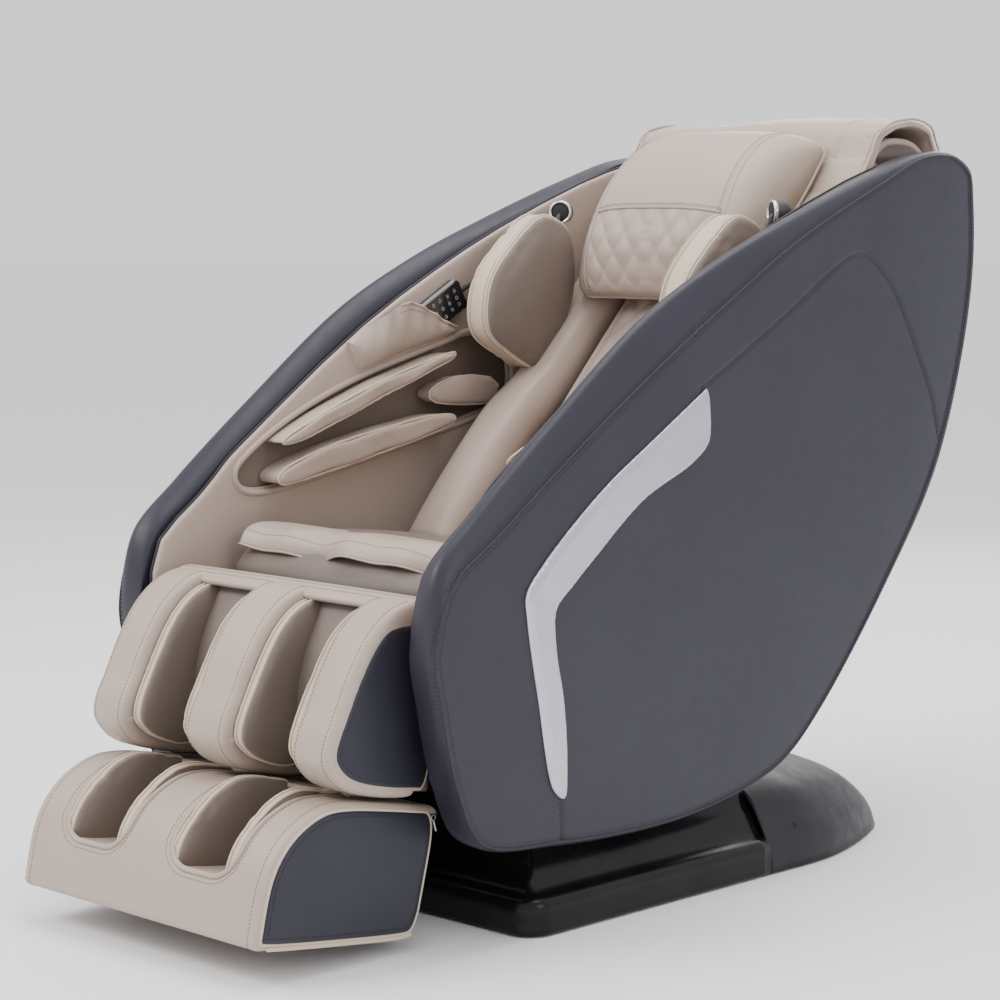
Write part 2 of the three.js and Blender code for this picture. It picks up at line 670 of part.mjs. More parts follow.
// [distance in from the outline, z]: a foot and a hollow wall that sweeps in and up between
// the shells
const SKIRT_SECTION = [
  [0, 3], [0, 46], [4, 56], [12, 62], [22, 67], [30, 76], [38, 91], [48, 106], [58, 118],
  [64, 132], [66, 160], [71, 160], [69, 131], [62, 114], [52, 101], [42, 87], [35, 73],
  [26, 61], [14, 57], [8, 52], [5, 44], [5, 3],
];
const SKIRT_ROUND = 45;             // corner radius at the floor
const SKIRT_ROUND_MIN = 8;          // and where the section has come far in
const SKIRT_TURNS = 5;

/** The skirt's outline in plan, from the split round the front, at a distance inwards. */
function skirtOutline(inward) {
  const round = Math.max(SKIRT_ROUND - inward, SKIRT_ROUND_MIN);
  const half = BASE_HALF - inward;
  const front = BASE_FRONT + inward;
  const turns = Array.from({ length: SKIRT_TURNS + 1 }, (_, i) => i / SKIRT_TURNS * Math.PI / 2);
  const corner = turns.map((turn) => [
    half - round + round * Math.cos(turn), front + round - round * Math.sin(turn)]);
  const side = [[half, BASE_SPLIT - 1], ...corner];
  return [...side, ...side.toReversed().map(([x, y]) => [-x, y])];
}

function baseSkirt() {
  const rows = SKIRT_SECTION.map(([inward, z]) =>
    skirtOutline(inward).map(([x, y]) => [x, y, z]));
  return loft(rows[0].map((_, i) => rows.map((row) => row[i])));
}

// Half of the rear cover's outline in plan, and how it shrinks with height: [x share, y share, z]
const REAR_PLAN = [
  [392, BASE_SPLIT], [392, 195], [383, 262], [358, 350], [322, 440], [285, 505], [235, 545],
  [170, 558], [90, 563],
];
const REAR_LEVELS = [
  [1, 1, 3], [0.99, 0.965, 40], [0.935, 0.86, 90], [0.85, 0.68, 134], [0.67, 0.47, 166],
  [0.4, 0.26, 184], [0, 0, 190],
];
const REAR_WALL = 5;
const INLET = { x0: 60, x1: 150, y0: 500, y1: 562, z0: 16, z1: 50 };

function rearCover() {
  const plan = [...REAR_PLAN, ...REAR_PLAN.map(([x, y]) => [-x, y]).reverse()];
  const level = ([sx, sy, z], wall) => ([x, y]) => [
    x * sx * (1 - wall / 300), BASE_SPLIT + (y - BASE_SPLIT) * sy * (1 - wall / 400), z];
  const rings = plan.map((point) => [
    ...REAR_LEVELS.map((l) => level(l, 0)(point)),
    ...REAR_LEVELS.toReversed().map((l) => level([l[0], l[1], Math.max(3, l[2] - REAR_WALL)],
      REAR_WALL)(point)),
  ]);
  const { x0, x1, y0, y1, z0, z1 } = INLET;
  const cut = box([x0 - 1, y0 - 20, z0 - 1], [x1 + 1, y1 + 20, z1 + 1]);
  return join([loft(rings)], [cut]);
}

function baseFrame() {
  const parts = [];
  const holes = [];
  const [tiltY, tiltZ] = TILT_AXIS;
  const postIn = POST_X - POST_HALF;
  const postOut = POST_X + POST_HALF;
  for (const side of [1, -1]) {
    parts.push(sideBox(side, [postOut - 44, -470, 8], [postOut, 420, 48]));
    parts.push(sideBox(side, [postIn, tiltY - 34, 40], [postOut, tiltY + 34, tiltZ + 28]));
    holes.push(rod(PIN_R + PIN_PLAY, side * (postIn - 5), side * (postOut + 5), ...TILT_AXIS));
    parts.push(sideBox(side, [postIn - 34, 410, 20], [postIn - 22, WHEEL.y + 10, 42]));
    parts.push(rod(WHEEL_AXLE_R, side * (WHEEL.x - 15), side * (postIn - 30), WHEEL.y,
      WHEEL.r + WHEEL.lift));
    parts.push(forkPlate(side, 0, MOTOR_FORK, [-400, 8], [-360, 90]));
  }
  parts.push(...drivePin(0, MOTOR_FORK, TILT_DRIVE[0]));
  for (const y of [-470, -150, 380]) {
    parts.push(box([-postOut, y, 8], [postOut, y + 40, 36]));
  }
  parts.push(box([-40, -450, 8], [40, -350, 14]));
  parts.push(box([-24, -450, 8], [24, -130, 14]));
  return join(parts, holes);
}

function wheel() {
  const { r, wide } = WHEEL;
  const bore = WHEEL_AXLE_R + PIN_PLAY;
  const half = wide / 2;
  const profile = [[bore, -half], [r - 3, -half], [r, -half + 3], [r, half - 3], [r - 3, half],
    [bore, half], [bore, -half]];
  return new THREE.LatheGeometry(profile.map((p) => new THREE.Vector2(...p)), 24)
    .rotateZ(Math.PI / 2);
}

function powerInlet() {
  const { x0, x1, y0, y1, z0, z1 } = INLET;
  const socket = box([x0 + 48, y1 - 18, z0 + 6], [x1 - 8, y1 + 1, z1 - 6]);
  const seat = box([x0 + 10, y1 - 14, z0 + 7], [x0 + 36, y1 + 1, z1 - 7]);
  return join([box([x0, y0, z0], [x1, y1, z1])], [socket, seat]);
}

// ---------------------------------------------------------------- linear actuators
// Each has a motor that swings on one body and a rod that slides out to another.
/** The motor's tube with an eye block at its lower end, along local Y from the pivot. */
function motor(reach, half, gearSide) {
  const tube = new THREE.CylinderGeometry(20, 20, reach - 20, 16).translate(0, reach / 2 + 10, 0);
  const bore = new THREE.CylinderGeometry(11 + PIN_PLAY, 11 + PIN_PLAY, reach, 16)
    .translate(0, reach / 2 + 38, 0);
  const eye = box([-half, -14, -14], [half, 34, 14]);
  const gearbox = box([-half + 2, 30, Math.min(0, gearSide * 46)],
    [half - 2, 78, Math.max(0, gearSide * 46)]);
  return join([tube, eye, gearbox],
    [bore, rod(DRIVE_PIN_R + PIN_PLAY, -half - 1, half + 1, 0, 0)]);
}

function pushRod(start, length) {
  const shaft = new THREE.CylinderGeometry(11, 11, length - start - 8, 16)
    .translate(0, (length + start - 8) / 2, 0);
  return join([shaft, box([-13, length - 20, -11], [13, length + 6, 11])],
    [rod(DRIVE_PIN_R + ROD_PLAY, -14, 14, length, 0)]);
}

/** Places a motor and its rod between two (y, z) points. */
function actuator(name, x, [[y0, z0], [y1, z1]], reach, gearSide, rodStart) {
  const group = new THREE.Group();
  group.position.set(x, y0, z0);
  group.rotation.x = Math.atan2(z1 - z0, y1 - y0);
  chair.add(group);
  add(`${name}_motor`, motor(reach, MOTOR_HALF, gearSide), SATIN_BLACK, group);
  add(`${name}_rod`, pushRod(rodStart, Math.hypot(y1 - y0, z1 - z0)), ZINC, group);
}

const MOTOR_HALF = 24;              // half-width of a motor's eye block

// ---------------------------------------------------------------- assembly
// Base
add('base_frame', baseFrame(), STEEL);
add('floor_plate', slabPlate(), RUBBER);
add('base_skirt', baseSkirt(), GLOSS_BLACK);
add('base_rear_cover', rearCover(), SATIN_BLACK);
add('power_inlet', powerInlet(), SATIN_BLACK);
add('power_switch', box([INLET.x0 + 13, INLET.y1 - 9, INLET.z0 + 10],
  [INLET.x0 + 33, INLET.y1 + 2, INLET.z1 - 10]), KEY);
for (const [name, side] of [['left', 1], ['right', -1]]) {
  add(`wheel_${name}`, wheel(), RUBBER)
    .position.set(side * WHEEL.x, WHEEL.y, WHEEL.r + WHEEL.lift);
}

/** The flat underside that the chair stands on. */
function slabPlate() {
  const shape = outlineShape([
    [-330, -530], [330, -530], [378, -480], [378, 190], [350, 300], [292, 434], [-292, 434],
    [-350, 300], [-378, 190], [-378, -480],
  ]);
  return new THREE.ExtrudeGeometry(shape, { depth: 7, bevelEnabled: false });
}

actuator('tilt', 0, TILT_DRIVE, 235, -1, 70);
actuator('recline', 0, RECLINE_DRIVE, 215, -1, 84);
actuator('legrest', LEG_DRIVE_X, LEG_DRIVE, 250, 1, 70);

// Shells and arms
addPair('shell', sideShell(), SHELL);
addPair('trim', slab(TRIM, SHELL_OUT + GAP, SHELL_OUT + GAP + TRIM_THICK), SILVER);
addPair('arm_panel', armPanel(), TAUPE_DARK);
addPair('arm_lip', armLip(), TAUPE);
addPair('arm_upper_pad', slab(ARM_UPPER, PAD_IN, SHELL_IN - GAP, 4), TAUPE);
addPair('arm_lower_pad', slab(ARM_LOWER, PAD_IN, SHELL_IN - GAP, 6), TAUPE);
addPair('elbow_pad', slab(ELBOW, ELBOW_IN, SHELL_IN - GAP, 6), TAUPE);
add('remote_pocket', remotePocket(), TAUPE);
add('remote', remoteBody(), GLOSS_BLACK);
KEYS.forEach((place, i) => add(`remote_key_${i + 1}`, remoteKey(place), KEY));
add('remote_cord', remoteCord(), KEY);
add('cord_gland', cordGland(), SATIN_BLACK);

// Seat
add('seat_frame', seatFrame(), STEEL);
add('seat_cushion', slab(SEAT_CUSHION, -CUSHION_HALF, CUSHION_HALF, 8), TAUPE_DARK);
add('seat_bolster', slab(SEAT_BOLSTER, -SEAT_HALF, SEAT_HALF, 6), TAUPE_DARK);
add('seat_flap', slab(SEAT_FLAP, -SEAT_FLAP_HALF, SEAT_FLAP_HALF), TAUPE);

// Back
add('back_frame', backFrame(), STEEL, back);
add('massage_carriage', carriage(), SATIN_BLACK, back);
add('massage_rollers', rollers(), RUBBER, back);
add('back_cover', backCover(), SLATE);
add('back_pad', slab(BACK_PAD, -STRIP_IN + 2, STRIP_IN - 2, 8), TAUPE);
addPair('back_bolster', slab(BACK_BOLSTER, STRIP_IN, BACK_HALF, 10), TAUPE);
addPair('shoulder_wing', slab(WING, ...WING_X, 12), TAUPE);
addPair('speaker', speaker(), CHROME);
add('top_flap', slab(TOP_FLAP, -FLAP_HALF, FLAP_HALF), TAUPE);
add('head_pillow', slab(PILLOW, -PILLOW_HALF, PILLOW_HALF, 14), TAUPE);

// Leg unit
const sideIn = LEG_HALF - LEG_SIDE;
add('calf_pad', calfPad(), TAUPE);
addPair('calf_side', slab(CALF_SIDE, sideIn, LEG_HALF, 6), SLATE);
add('foot_pad', footPad(), TAUPE);
addPair('foot_side', slab(FOOT, sideIn, LEG_HALF, 6), SLATE);
add('foot_rails', footRails(), ZINC);

export default chair;
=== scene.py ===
"""Massage chair: camera, light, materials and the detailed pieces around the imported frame.

Metres, +Z up, the sitter faces -Y and +X is the sitter's left. Outlines lie in the (y, z) plane.
"""
import math
from collections import Counter

import bmesh
import bpy
import numpy as np
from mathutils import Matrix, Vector, geometry
from mathutils.kdtree import KDTree


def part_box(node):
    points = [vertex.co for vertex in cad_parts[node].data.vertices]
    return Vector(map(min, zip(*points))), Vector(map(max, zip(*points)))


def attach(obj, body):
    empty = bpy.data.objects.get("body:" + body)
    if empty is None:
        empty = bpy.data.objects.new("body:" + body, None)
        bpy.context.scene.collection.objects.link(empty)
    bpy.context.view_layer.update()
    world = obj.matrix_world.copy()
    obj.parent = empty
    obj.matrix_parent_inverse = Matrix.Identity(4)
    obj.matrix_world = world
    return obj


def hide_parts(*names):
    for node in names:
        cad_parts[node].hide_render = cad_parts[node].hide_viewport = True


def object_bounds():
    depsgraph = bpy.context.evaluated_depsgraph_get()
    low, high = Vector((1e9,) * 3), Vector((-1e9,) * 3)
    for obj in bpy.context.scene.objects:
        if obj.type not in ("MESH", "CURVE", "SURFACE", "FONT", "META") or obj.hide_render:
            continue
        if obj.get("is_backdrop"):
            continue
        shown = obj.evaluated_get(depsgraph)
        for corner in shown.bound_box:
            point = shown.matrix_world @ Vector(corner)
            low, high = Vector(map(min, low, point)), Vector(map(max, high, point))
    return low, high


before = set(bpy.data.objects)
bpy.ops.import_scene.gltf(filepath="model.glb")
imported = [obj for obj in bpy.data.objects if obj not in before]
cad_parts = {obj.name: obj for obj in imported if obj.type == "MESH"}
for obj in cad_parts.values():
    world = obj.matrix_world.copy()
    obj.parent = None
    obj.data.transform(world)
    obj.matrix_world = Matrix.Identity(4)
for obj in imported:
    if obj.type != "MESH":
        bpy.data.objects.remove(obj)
CAD_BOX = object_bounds()
MM = 0.001
SIDES = ((1, "left"), (-1, "right"))


# ------------------------------------------------------------------ camera, floor and light
CAMERA_PLACE = (3.263, -3.522, 1.148)
CAMERA_AZIMUTH = math.radians(44.6)
CAMERA_PITCH = math.radians(6.12)
CAMERA_LENS, SENSOR_WIDTH, FAR_CLIP = 96.3, 36, 60
WORLD_COLOUR, WORLD_STRENGTH = (0.93, 0.94, 0.96, 1), 1.25
FLOOR_COLOUR, FLOOR_ROUGHNESS, FLOOR_SIZE, FLOOR_LEVEL = (0.93, 0.93, 0.935), 0.7, 160, -0.0005
# name, place, aim, size, power and colour of each lamp
LAMPS = [
    ("key", (-1.8, -3.4, 3.6), (0, -0.2, 0.6), (2.4, 1.8), 130, (1, 1, 1)),
    ("top", (0.2, 0.2, 3.9), (0, 0, 0.7), (3.0, 2.2), 95, (1, 1, 1)),
    ("side", (4.2, -0.6, 1.9), (0.3, 0, 0.6), (1.6, 2.0), 34, (0.95, 0.97, 1)),
    ("back", (-1.6, 3.8, 2.6), (0, 0.2, 0.8), (2.4, 1.8), 55, (1, 1, 1)),
]


def added(name, data):
    """A new object in the scene that holds some data."""
    obj = bpy.data.objects.new(name, data)
    bpy.context.scene.collection.objects.link(obj)
    return obj


def make_camera():
    data = bpy.data.cameras.new("camera")
    data.lens = CAMERA_LENS
    data.sensor_width = SENSOR_WIDTH
    data.clip_end = FAR_CLIP
    camera = added("camera", data)
    camera.location = CAMERA_PLACE
    camera.rotation_euler = (math.pi / 2 - CAMERA_PITCH, 0, CAMERA_AZIMUTH)
    bpy.context.scene.camera = camera


def make_lamp(name, place, aim, size, power, colour):
    data = bpy.data.lights.new(name, "AREA")
    data.shape = "RECTANGLE"
    data.size, data.size_y = size
    data.energy = power
    data.color = colour
    light = added(name, data)
    light.location = place
    light.rotation_euler = (Vector(aim) - Vector(place)).to_track_quat("-Z", "Y").to_euler()


def make_studio():
    world = bpy.data.worlds.new("studio")
    world.use_nodes = True
    back = world.node_tree.nodes["Background"]
    back.inputs[0].default_value = WORLD_COLOUR
    back.inputs[1].default_value = WORLD_STRENGTH
    bpy.context.scene.world = world
    bpy.ops.mesh.primitive_plane_add(size=FLOOR_SIZE, location=(0, 0, FLOOR_LEVEL))
    floor = bpy.context.object
    floor.name = "studio_floor"
    floor.data.materials.append(plain_material("studio_floor", FLOOR_COLOUR, FLOOR_ROUGHNESS))
    floor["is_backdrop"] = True
    for lamp in LAMPS:
        make_lamp(*lamp)


# ------------------------------------------------------------------ materials
SLOTS = {}      # by material name, the CAD material that its pieces stand for
SHARED_SLOTS = {
    "cream_leatherette": "cream_gusset", "taupe_thread": "taupe_leatherette",
    "slate_thread": "slate_leatherette", "seam_shadow": "shell_leatherette",
    "skirt_black": "gloss_black", "rear_black": "satin_black", "key_print": "key_rubber",
    # the last entry is the dark strip under the seat flap, a painted shadow; it counts as rubber
    "speaker_cloth": "satin_black", "flap_shade_strip": "rubber",
}


def plain_material(name, colour, roughness, metallic=0.0):
    material = bpy.data.materials.new(name)
    material.use_nodes = True
    shader = material.node_tree.nodes["Principled BSDF"]
    shader.inputs["Base Color"].default_value = (*colour, 1)
    shader.inputs["Roughness"].default_value = roughness
    shader.inputs["Metallic"].default_value = metallic
    SLOTS[material.name] = SHARED_SLOTS.get(name, name)
    return material


class Nodes:
    """Short hand for building a material's node tree."""

    def __init__(self, material):
        self.tree = material.node_tree
        self.shader = self.tree.nodes["Principled BSDF"]
        self.place = self.tree.nodes.new("ShaderNodeTexCoord").outputs["Object"]

    def add(self, kind, inputs=(), **settings):
        node = self.tree.nodes.new(kind)
        for key, value in settings.items():
            setattr(node, key, value)
        for key, value in dict(inputs).items():
            if isinstance(value, bpy.types.NodeSocket):
                self.tree.links.new(value, node.inputs[key])
            else:
                node.inputs[key].default_value = value
        return node

    def noise(self, scale, detail=3.0, roughness=0.55):
        node = self.add("ShaderNodeTexNoise", {"Vector": self.place, "Scale": scale,
                                               "Detail": detail, "Roughness": roughness})
        return node.outputs["Fac"]

    def ramp(self, value, low, high):
        node = self.add("ShaderNodeMapRange", {"Value": value, "From Min": 0.3, "From Max": 0.7,
                                               "To Min": low, "To Max": high})
        return node.outputs["Result"]

    def mix(self, factor, first, second):
        node = self.add("ShaderNodeMix", {"Factor": factor}, data_type="RGBA")
        for key, colour in (("A", first), ("B", second)):
            socket = [s for s in node.inputs if s.name == key and s.type == "RGBA"][0]
            if isinstance(colour, bpy.types.NodeSocket):
                self.tree.links.new(colour, socket)
            else:
                socket.default_value = (*colour, 1)
        return [s for s in node.outputs if s.type == "RGBA"][0]

    def bump(self, height, strength, distance, normal=None):
        inputs = {"Height": height, "Strength": strength, "Distance": distance}
        if normal is not None:
            inputs["Normal"] = normal
        return self.add("ShaderNodeBump", inputs).outputs["Normal"]

    def link(self, value, name):
        self.tree.links.new(value, self.shader.inputs[name])


def leatherette(name, colour, deep, rough, wrinkle=0.16, specular=0.42):
    """Coated fabric: a fine pebbled grain, soft wrinkles and slow changes of tone."""
    material = plain_material(name, colour, sum(rough) / 2)
    nodes = Nodes(material)
    tone = nodes.ramp(nodes.noise(4.5, 4.0), 0.0, 1.0)
    base = nodes.mix(tone, deep, colour)
    speckle = nodes.ramp(nodes.noise(260.0, 2.0), 0.0, 0.22)
    base = nodes.mix(speckle, base, deep)
    nodes.link(base, "Base Color")
    nodes.link(nodes.ramp(nodes.noise(38.0, 3.0), *rough), "Roughness")
    grain = nodes.add("ShaderNodeTexVoronoi", {"Vector": nodes.place, "Scale": 620.0},
                      feature="DISTANCE_TO_EDGE").outputs["Distance"]
    fine = nodes.bump(grain, 0.35, 0.0004)
    creases = nodes.bump(nodes.noise(24.0, 5.0, 0.6), wrinkle, 0.004, fine)
    nodes.link(creases, "Normal")
    nodes.shader.inputs["Specular IOR Level"].default_value = specular
    return material


def moulded(name, colour, rough, coat=0.0, scale=900.0, bump=0.12, specular=0.5):
    """Moulded plastic or rubber with a fine texture and a little uneven gloss."""
    material = plain_material(name, colour, rough)
    nodes = Nodes(material)
    lighter = tuple(min(1.0, c * 1.5 + 0.004) for c in colour)
    nodes.link(nodes.mix(nodes.ramp(nodes.noise(9.0, 5.0), 0, 1), colour, lighter), "Base Color")
    nodes.link(nodes.ramp(nodes.noise(30.0, 4.0), rough * 0.85, rough * 1.2), "Roughness")
    nodes.link(nodes.bump(nodes.noise(scale, 2.0), bump, 0.0003), "Normal")
    nodes.shader.inputs["Specular IOR Level"].default_value = specular
    nodes.shader.inputs["Coat Weight"].default_value = coat
    nodes.shader.inputs["Coat Roughness"].default_value = 0.06
    return material


def metal(name, colour, rough, brushed=(1, 1, 1)):
    """Metal with fine brushing along one axis and faint smudges."""
    material = plain_material(name, colour, rough, 1.0)
    nodes = Nodes(material)
    stretched = nodes.add("ShaderNodeMapping", {"Vector": nodes.place,
                                                "Scale": brushed}).outputs["Vector"]
    lines = nodes.add("ShaderNodeTexNoise", {"Vector": stretched, "Scale": 500.0,
                                             "Detail": 2.0}).outputs["Fac"]
    nodes.link(nodes.ramp(nodes.noise(14.0, 4.0), rough * 0.94, rough * 1.08), "Roughness")
    nodes.link(nodes.bump(lines, 0.12, 0.0002), "Normal")
    darker = tuple(c * 0.94 for c in colour)
    nodes.link(nodes.mix(nodes.ramp(lines, 0, 1), darker, colour), "Base Color")
    return material


def painted_steel(name, colour):
    material = plain_material(name, colour, 0.45, 0.35)
    nodes = Nodes(material)
    worn = tuple(c * 2.2 for c in colour)
    nodes.link(nodes.mix(nodes.ramp(nodes.noise(60.0, 6.0), 0, 0.4), colour, worn), "Base Color")
    nodes.link(nodes.bump(nodes.noise(420.0, 2.0), 0.3, 0.0004), "Normal")
    return material


SHELL = leatherette("shell_leatherette", (0.027, 0.0245, 0.0375), (0.022, 0.0195, 0.031),
                    (0.36, 0.47), wrinkle=0.1, specular=0.34)
SLATE = leatherette("slate_leatherette", (0.0255, 0.0235, 0.0365), (0.0205, 0.019, 0.0295),
                    (0.36, 0.48), wrinkle=0.1, specular=0.3)
TAUPE = leatherette("taupe_leatherette", (0.44, 0.35, 0.295), (0.4, 0.313, 0.26), (0.4, 0.52),
                    wrinkle=0.12)
DARK = leatherette("dark_taupe_leatherette", (0.185, 0.145, 0.122), (0.16, 0.122, 0.102),
                   (0.4, 0.52), wrinkle=0.12)
CREAM = leatherette("cream_leatherette", (0.6, 0.49, 0.385), (0.55, 0.44, 0.335), (0.42, 0.55),
                    wrinkle=0.1)
THREAD = leatherette("taupe_thread", (0.2, 0.155, 0.13), (0.15, 0.115, 0.095), (0.6, 0.7))
SHELL_THREAD = leatherette("slate_thread", (0.012, 0.011, 0.016), (0.02, 0.019, 0.026), (0.5, 0.6))
# near-black material for the thin tubes laid in the shell's seams and grooves: painted shade
SEAM_SHADE = moulded("seam_shadow", (0.02, 0.018, 0.02), 0.7)
SILVER = metal("silver_trim", (0.56, 0.55, 0.6), 0.33, (1, 0.06, 0.06))
CHROME = metal("chrome_ring", (0.75, 0.76, 0.78), 0.09)
ZINC = metal("zinc_steel", (0.5, 0.5, 0.51), 0.28, (0.05, 1, 1))
STEEL = painted_steel("painted_steel", (0.035, 0.037, 0.042))
SKIRT_BLACK = moulded("skirt_black", (0.003, 0.003, 0.0035), 0.24, scale=300.0, bump=0.02,
                      specular=0.22)
REAR_BLACK = moulded("rear_black", (0.009, 0.009, 0.011), 0.42, specular=0.28)
GLOSS = moulded("gloss_black", (0.006, 0.006, 0.007), 0.13, coat=0.6, scale=300.0, bump=0.02)
SATIN = moulded("satin_black", (0.022, 0.022, 0.026), 0.38)
PLASTIC = moulded("base_plastic", (0.015, 0.015, 0.016), 0.6)
RUBBER = moulded("rubber", (0.012, 0.012, 0.012), 0.75)
KEY = moulded("key_rubber", (0.03, 0.03, 0.033), 0.55)
PRINT = moulded("key_print", (0.4, 0.4, 0.42), 0.5)
CORD_BLACK = moulded("cord_black", (0.012, 0.012, 0.013), 0.45)
MESH_CLOTH = moulded("speaker_cloth", (0.012, 0.012, 0.013), 0.8, scale=1400.0, bump=0.8)
# near-black rough material for the strip under the seat flap's edge: painted shadow of the flap on
# the nose
FLAP_SHADE = moulded("flap_shade_strip", (0.02, 0.018, 0.018), 0.95, scale=1800.0, bump=1.0)


# ------------------------------------------------------------------ curves and outlines
def array(points):
    return np.asarray(points, dtype=float)


def millimetres(points):
    """Points given in millimetres, in metres."""
    return array(points) * MM


def length_of(points):
    return float(np.linalg.norm(np.diff(points, axis=0), axis=1).sum())


def travelled(points):
    """The distance along a line up to each of its points."""
    steps = np.linalg.norm(np.diff(points, axis=0), axis=1)
    return np.concatenate([[0], np.cumsum(steps)])


def at_index(curve, index):
    """Points of a curve at fractional indices."""
    grid = np.arange(len(curve))
    return np.stack([np.interp(index, grid, curve[:, k]) for k in range(curve.shape[1])], -1)


def around(count):
    """Evenly spaced angles of one full turn."""
    return np.linspace(0, 2 * math.pi, count, endpoint=False)


def resample(points, count, closed=False):
    """Evenly spaced points along a polyline."""
    points = array(points)
    if closed:
        points = np.vstack([points, points[:1]])
    length = travelled(points)
    wanted = np.linspace(0, length[-1], count + 1 if closed else count)
    if closed:
        wanted = wanted[:-1]
    return np.stack([np.interp(wanted, length, points[:, k]) for k in range(points.shape[1])], 1)


def smooth(points, count, closed=False, rounds=2):
    """A smooth curve through a rough outline: corner cutting, then even spacing."""
    points = array(points)
    for _ in range(rounds):
        after = np.roll(points, -1, axis=0)
        cut = np.stack([points * 0.75 + after * 0.25, points * 0.25 + after * 0.75], 1)
        if closed:
            points = cut.reshape(-1, points.shape[1])
        else:
            points = np.vstack([points[:1], cut[:-1].reshape(-1, points.shape[1]), points[-1:]])
    return resample(points, count, closed)


def between(p, q, t, start, end):
    """The point at t on the line that is at p at `start` and at q at `end`."""
    return p * (end - t) / (end - start) + q * (t - start) / (end - start)


def spline(points, count, closed=False, even=True):
    """A centripetal Catmull-Rom curve through the points."""
    points = array(points)
    if closed:
        ring = np.vstack([points[-1:], points, points[:2]])
    else:
        ring = np.vstack([2 * points[0] - points[1], points, 2 * points[-1] - points[-2]])
    out = []
    for p0, p1, p2, p3 in zip(ring, ring[1:], ring[2:], ring[3:]):
        knots = [0.0]
        for a, b in ((p0, p1), (p1, p2), (p2, p3)):
            knots.append(knots[-1] + max(np.linalg.norm(b[-2:] - a[-2:]), 1e-9) ** 0.5)
        t0, t1, t2, t3 = knots
        for t in np.linspace(t1, t2, 16, endpoint=False):
            a1 = between(p0, p1, t, t0, t1)
            a2 = between(p1, p2, t, t1, t2)
            a3 = between(p2, p3, t, t2, t3)
            b1, b2 = between(a1, a2, t, t0, t2), between(a2, a3, t, t1, t3)
            out.append(between(b1, b2, t, t1, t2))
    if not closed:
        out.append(points[-1])
    return resample(out, count, closed) if even else array(out)


def tangents(points, closed=False):
    points = array(points)
    if closed:
        step = np.roll(points, -1, axis=0) - np.roll(points, 1, axis=0)
    else:
        step = np.gradient(points, axis=0)
    return step / np.maximum(np.linalg.norm(step, axis=1, keepdims=True), 1e-9)


def area_of(points):
    nxt = np.roll(points, -1, axis=0)
    return 0.5 * np.sum(points[:, 0] * nxt[:, 1] - nxt[:, 0] * points[:, 1])


def anticlockwise(points):
    points = array(points)
    return points if area_of(points) > 0 else points[::-1]


def normals(points, closed=False):
    """Unit normals on the right of a (y, z) line."""
    along = tangents(points, closed)
    return np.stack([along[:, 1], -along[:, 0]], 1)


def outward(points):
    """Outward unit normals of an anticlockwise (y, z) outline."""
    return normals(points, True)


def grown(points, distance):
    points = anticlockwise(points)
    return points + outward(points) * distance


# ------------------------------------------------------------------ making pieces
def piece(name, mesh, material, body, replaces=(), slot=None):
    """A piece from (vertices, faces) that rides on a body and stands for CAD nodes."""
    verts, faces = mesh
    data = bpy.data.meshes.new(name)
    data.from_pydata([tuple(v) for v in verts], [], [tuple(f) for f in faces])
    clean = bmesh.new()
    clean.from_mesh(data)
    bmesh.ops.remove_doubles(clean, verts=clean.verts, dist=2e-5)
    bmesh.ops.dissolve_degenerate(clean, edges=clean.edges, dist=1e-6)
    bmesh.ops.recalc_face_normals(clean, faces=clean.faces)
    clean.to_mesh(data)
    clean.free()
    data.polygons.foreach_set("use_smooth", [True] * len(data.polygons))
    obj = added(name, data)
    data.materials.append(material)
    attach(obj, body)
    if replaces:
        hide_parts(*replaces)
    slot or SLOTS[material.name]
    return obj


def ring_faces(rings, count, closed_rings=True, closed_ends=False):
    """Quads between rings of `count` points each."""
    faces = []
    for r in range(rings if closed_ends else rings - 1):
        here, above = r * count, (r + 1) % rings * count
        for i in range(count if closed_rings else count - 1):
            j = (i + 1) % count
            faces.append((here + i, here + j, above + j, above + i))
    return faces


def grid_rim(rows, columns):
    """The outer points of a grid, in order round it."""
    rim = list(range(columns)) + [r * columns + columns - 1 for r in range(1, rows)]
    rim += [(rows - 1) * columns + c for c in range(columns - 2, -1, -1)]
    return rim + [r * columns for r in range(rows - 2, 0, -1)]


# how far beyond a tube's end each ring of its rounded tip is, and the ring's size, in radii
TUBE_TIP = ((1.0, 0.01), (0.3, 0.7))


def tube(points, radius, closed=False, sides=8, taper=None):
    """Vertices and faces of a round tube along a 3-D line, with rounded ends."""
    points = array(points)
    along = tangents(points, closed)
    reference = array([0, 0, 1]) if abs(along[0][2]) < 0.9 else array([1, 0, 0])
    side = np.cross(along[0], reference)
    side /= np.linalg.norm(side)
    scale = np.ones(len(points)) if taper is None else array(taper)
    if not closed and taper is None:
        start = [points[:1] - along[:1] * radius * gap for gap, _ in TUBE_TIP]
        end = [points[-1:] + along[-1:] * radius * gap for gap, _ in TUBE_TIP[::-1]]
        points = np.vstack([*start, points, *end])
        along = np.vstack([along[:1]] * 2 + [along] + [along[-1:]] * 2)
        sizes = [size for _, size in TUBE_TIP]
        scale = np.concatenate([sizes, scale, sizes[::-1]])
    verts = []
    angles = around(sides)
    for point, direction, size in zip(points, along, scale):
        side = side - direction * np.dot(side, direction)
        side /= max(np.linalg.norm(side), 1e-9)
        up = np.cross(direction, side)
        for angle in angles:
            verts.append(point + radius * size * (side * math.cos(angle) + up * math.sin(angle)))
    faces = ring_faces(len(points), sides, True, closed)
    if not closed:
        faces.append(tuple(range(sides))[::-1])
        faces.append(tuple(range(len(verts) - sides, len(verts))))
    return verts, faces


def joined(parts):
    """Several (verts, faces) sets as one."""
    verts, faces = [], []
    for some_verts, some_faces in parts:
        start = len(verts)
        verts.extend(some_verts)
        faces.extend(tuple(i + start for i in face) for face in some_faces)
    return verts, faces


SHELL_STITCH = {"pitch": 0.0072, "length": 0.0048}


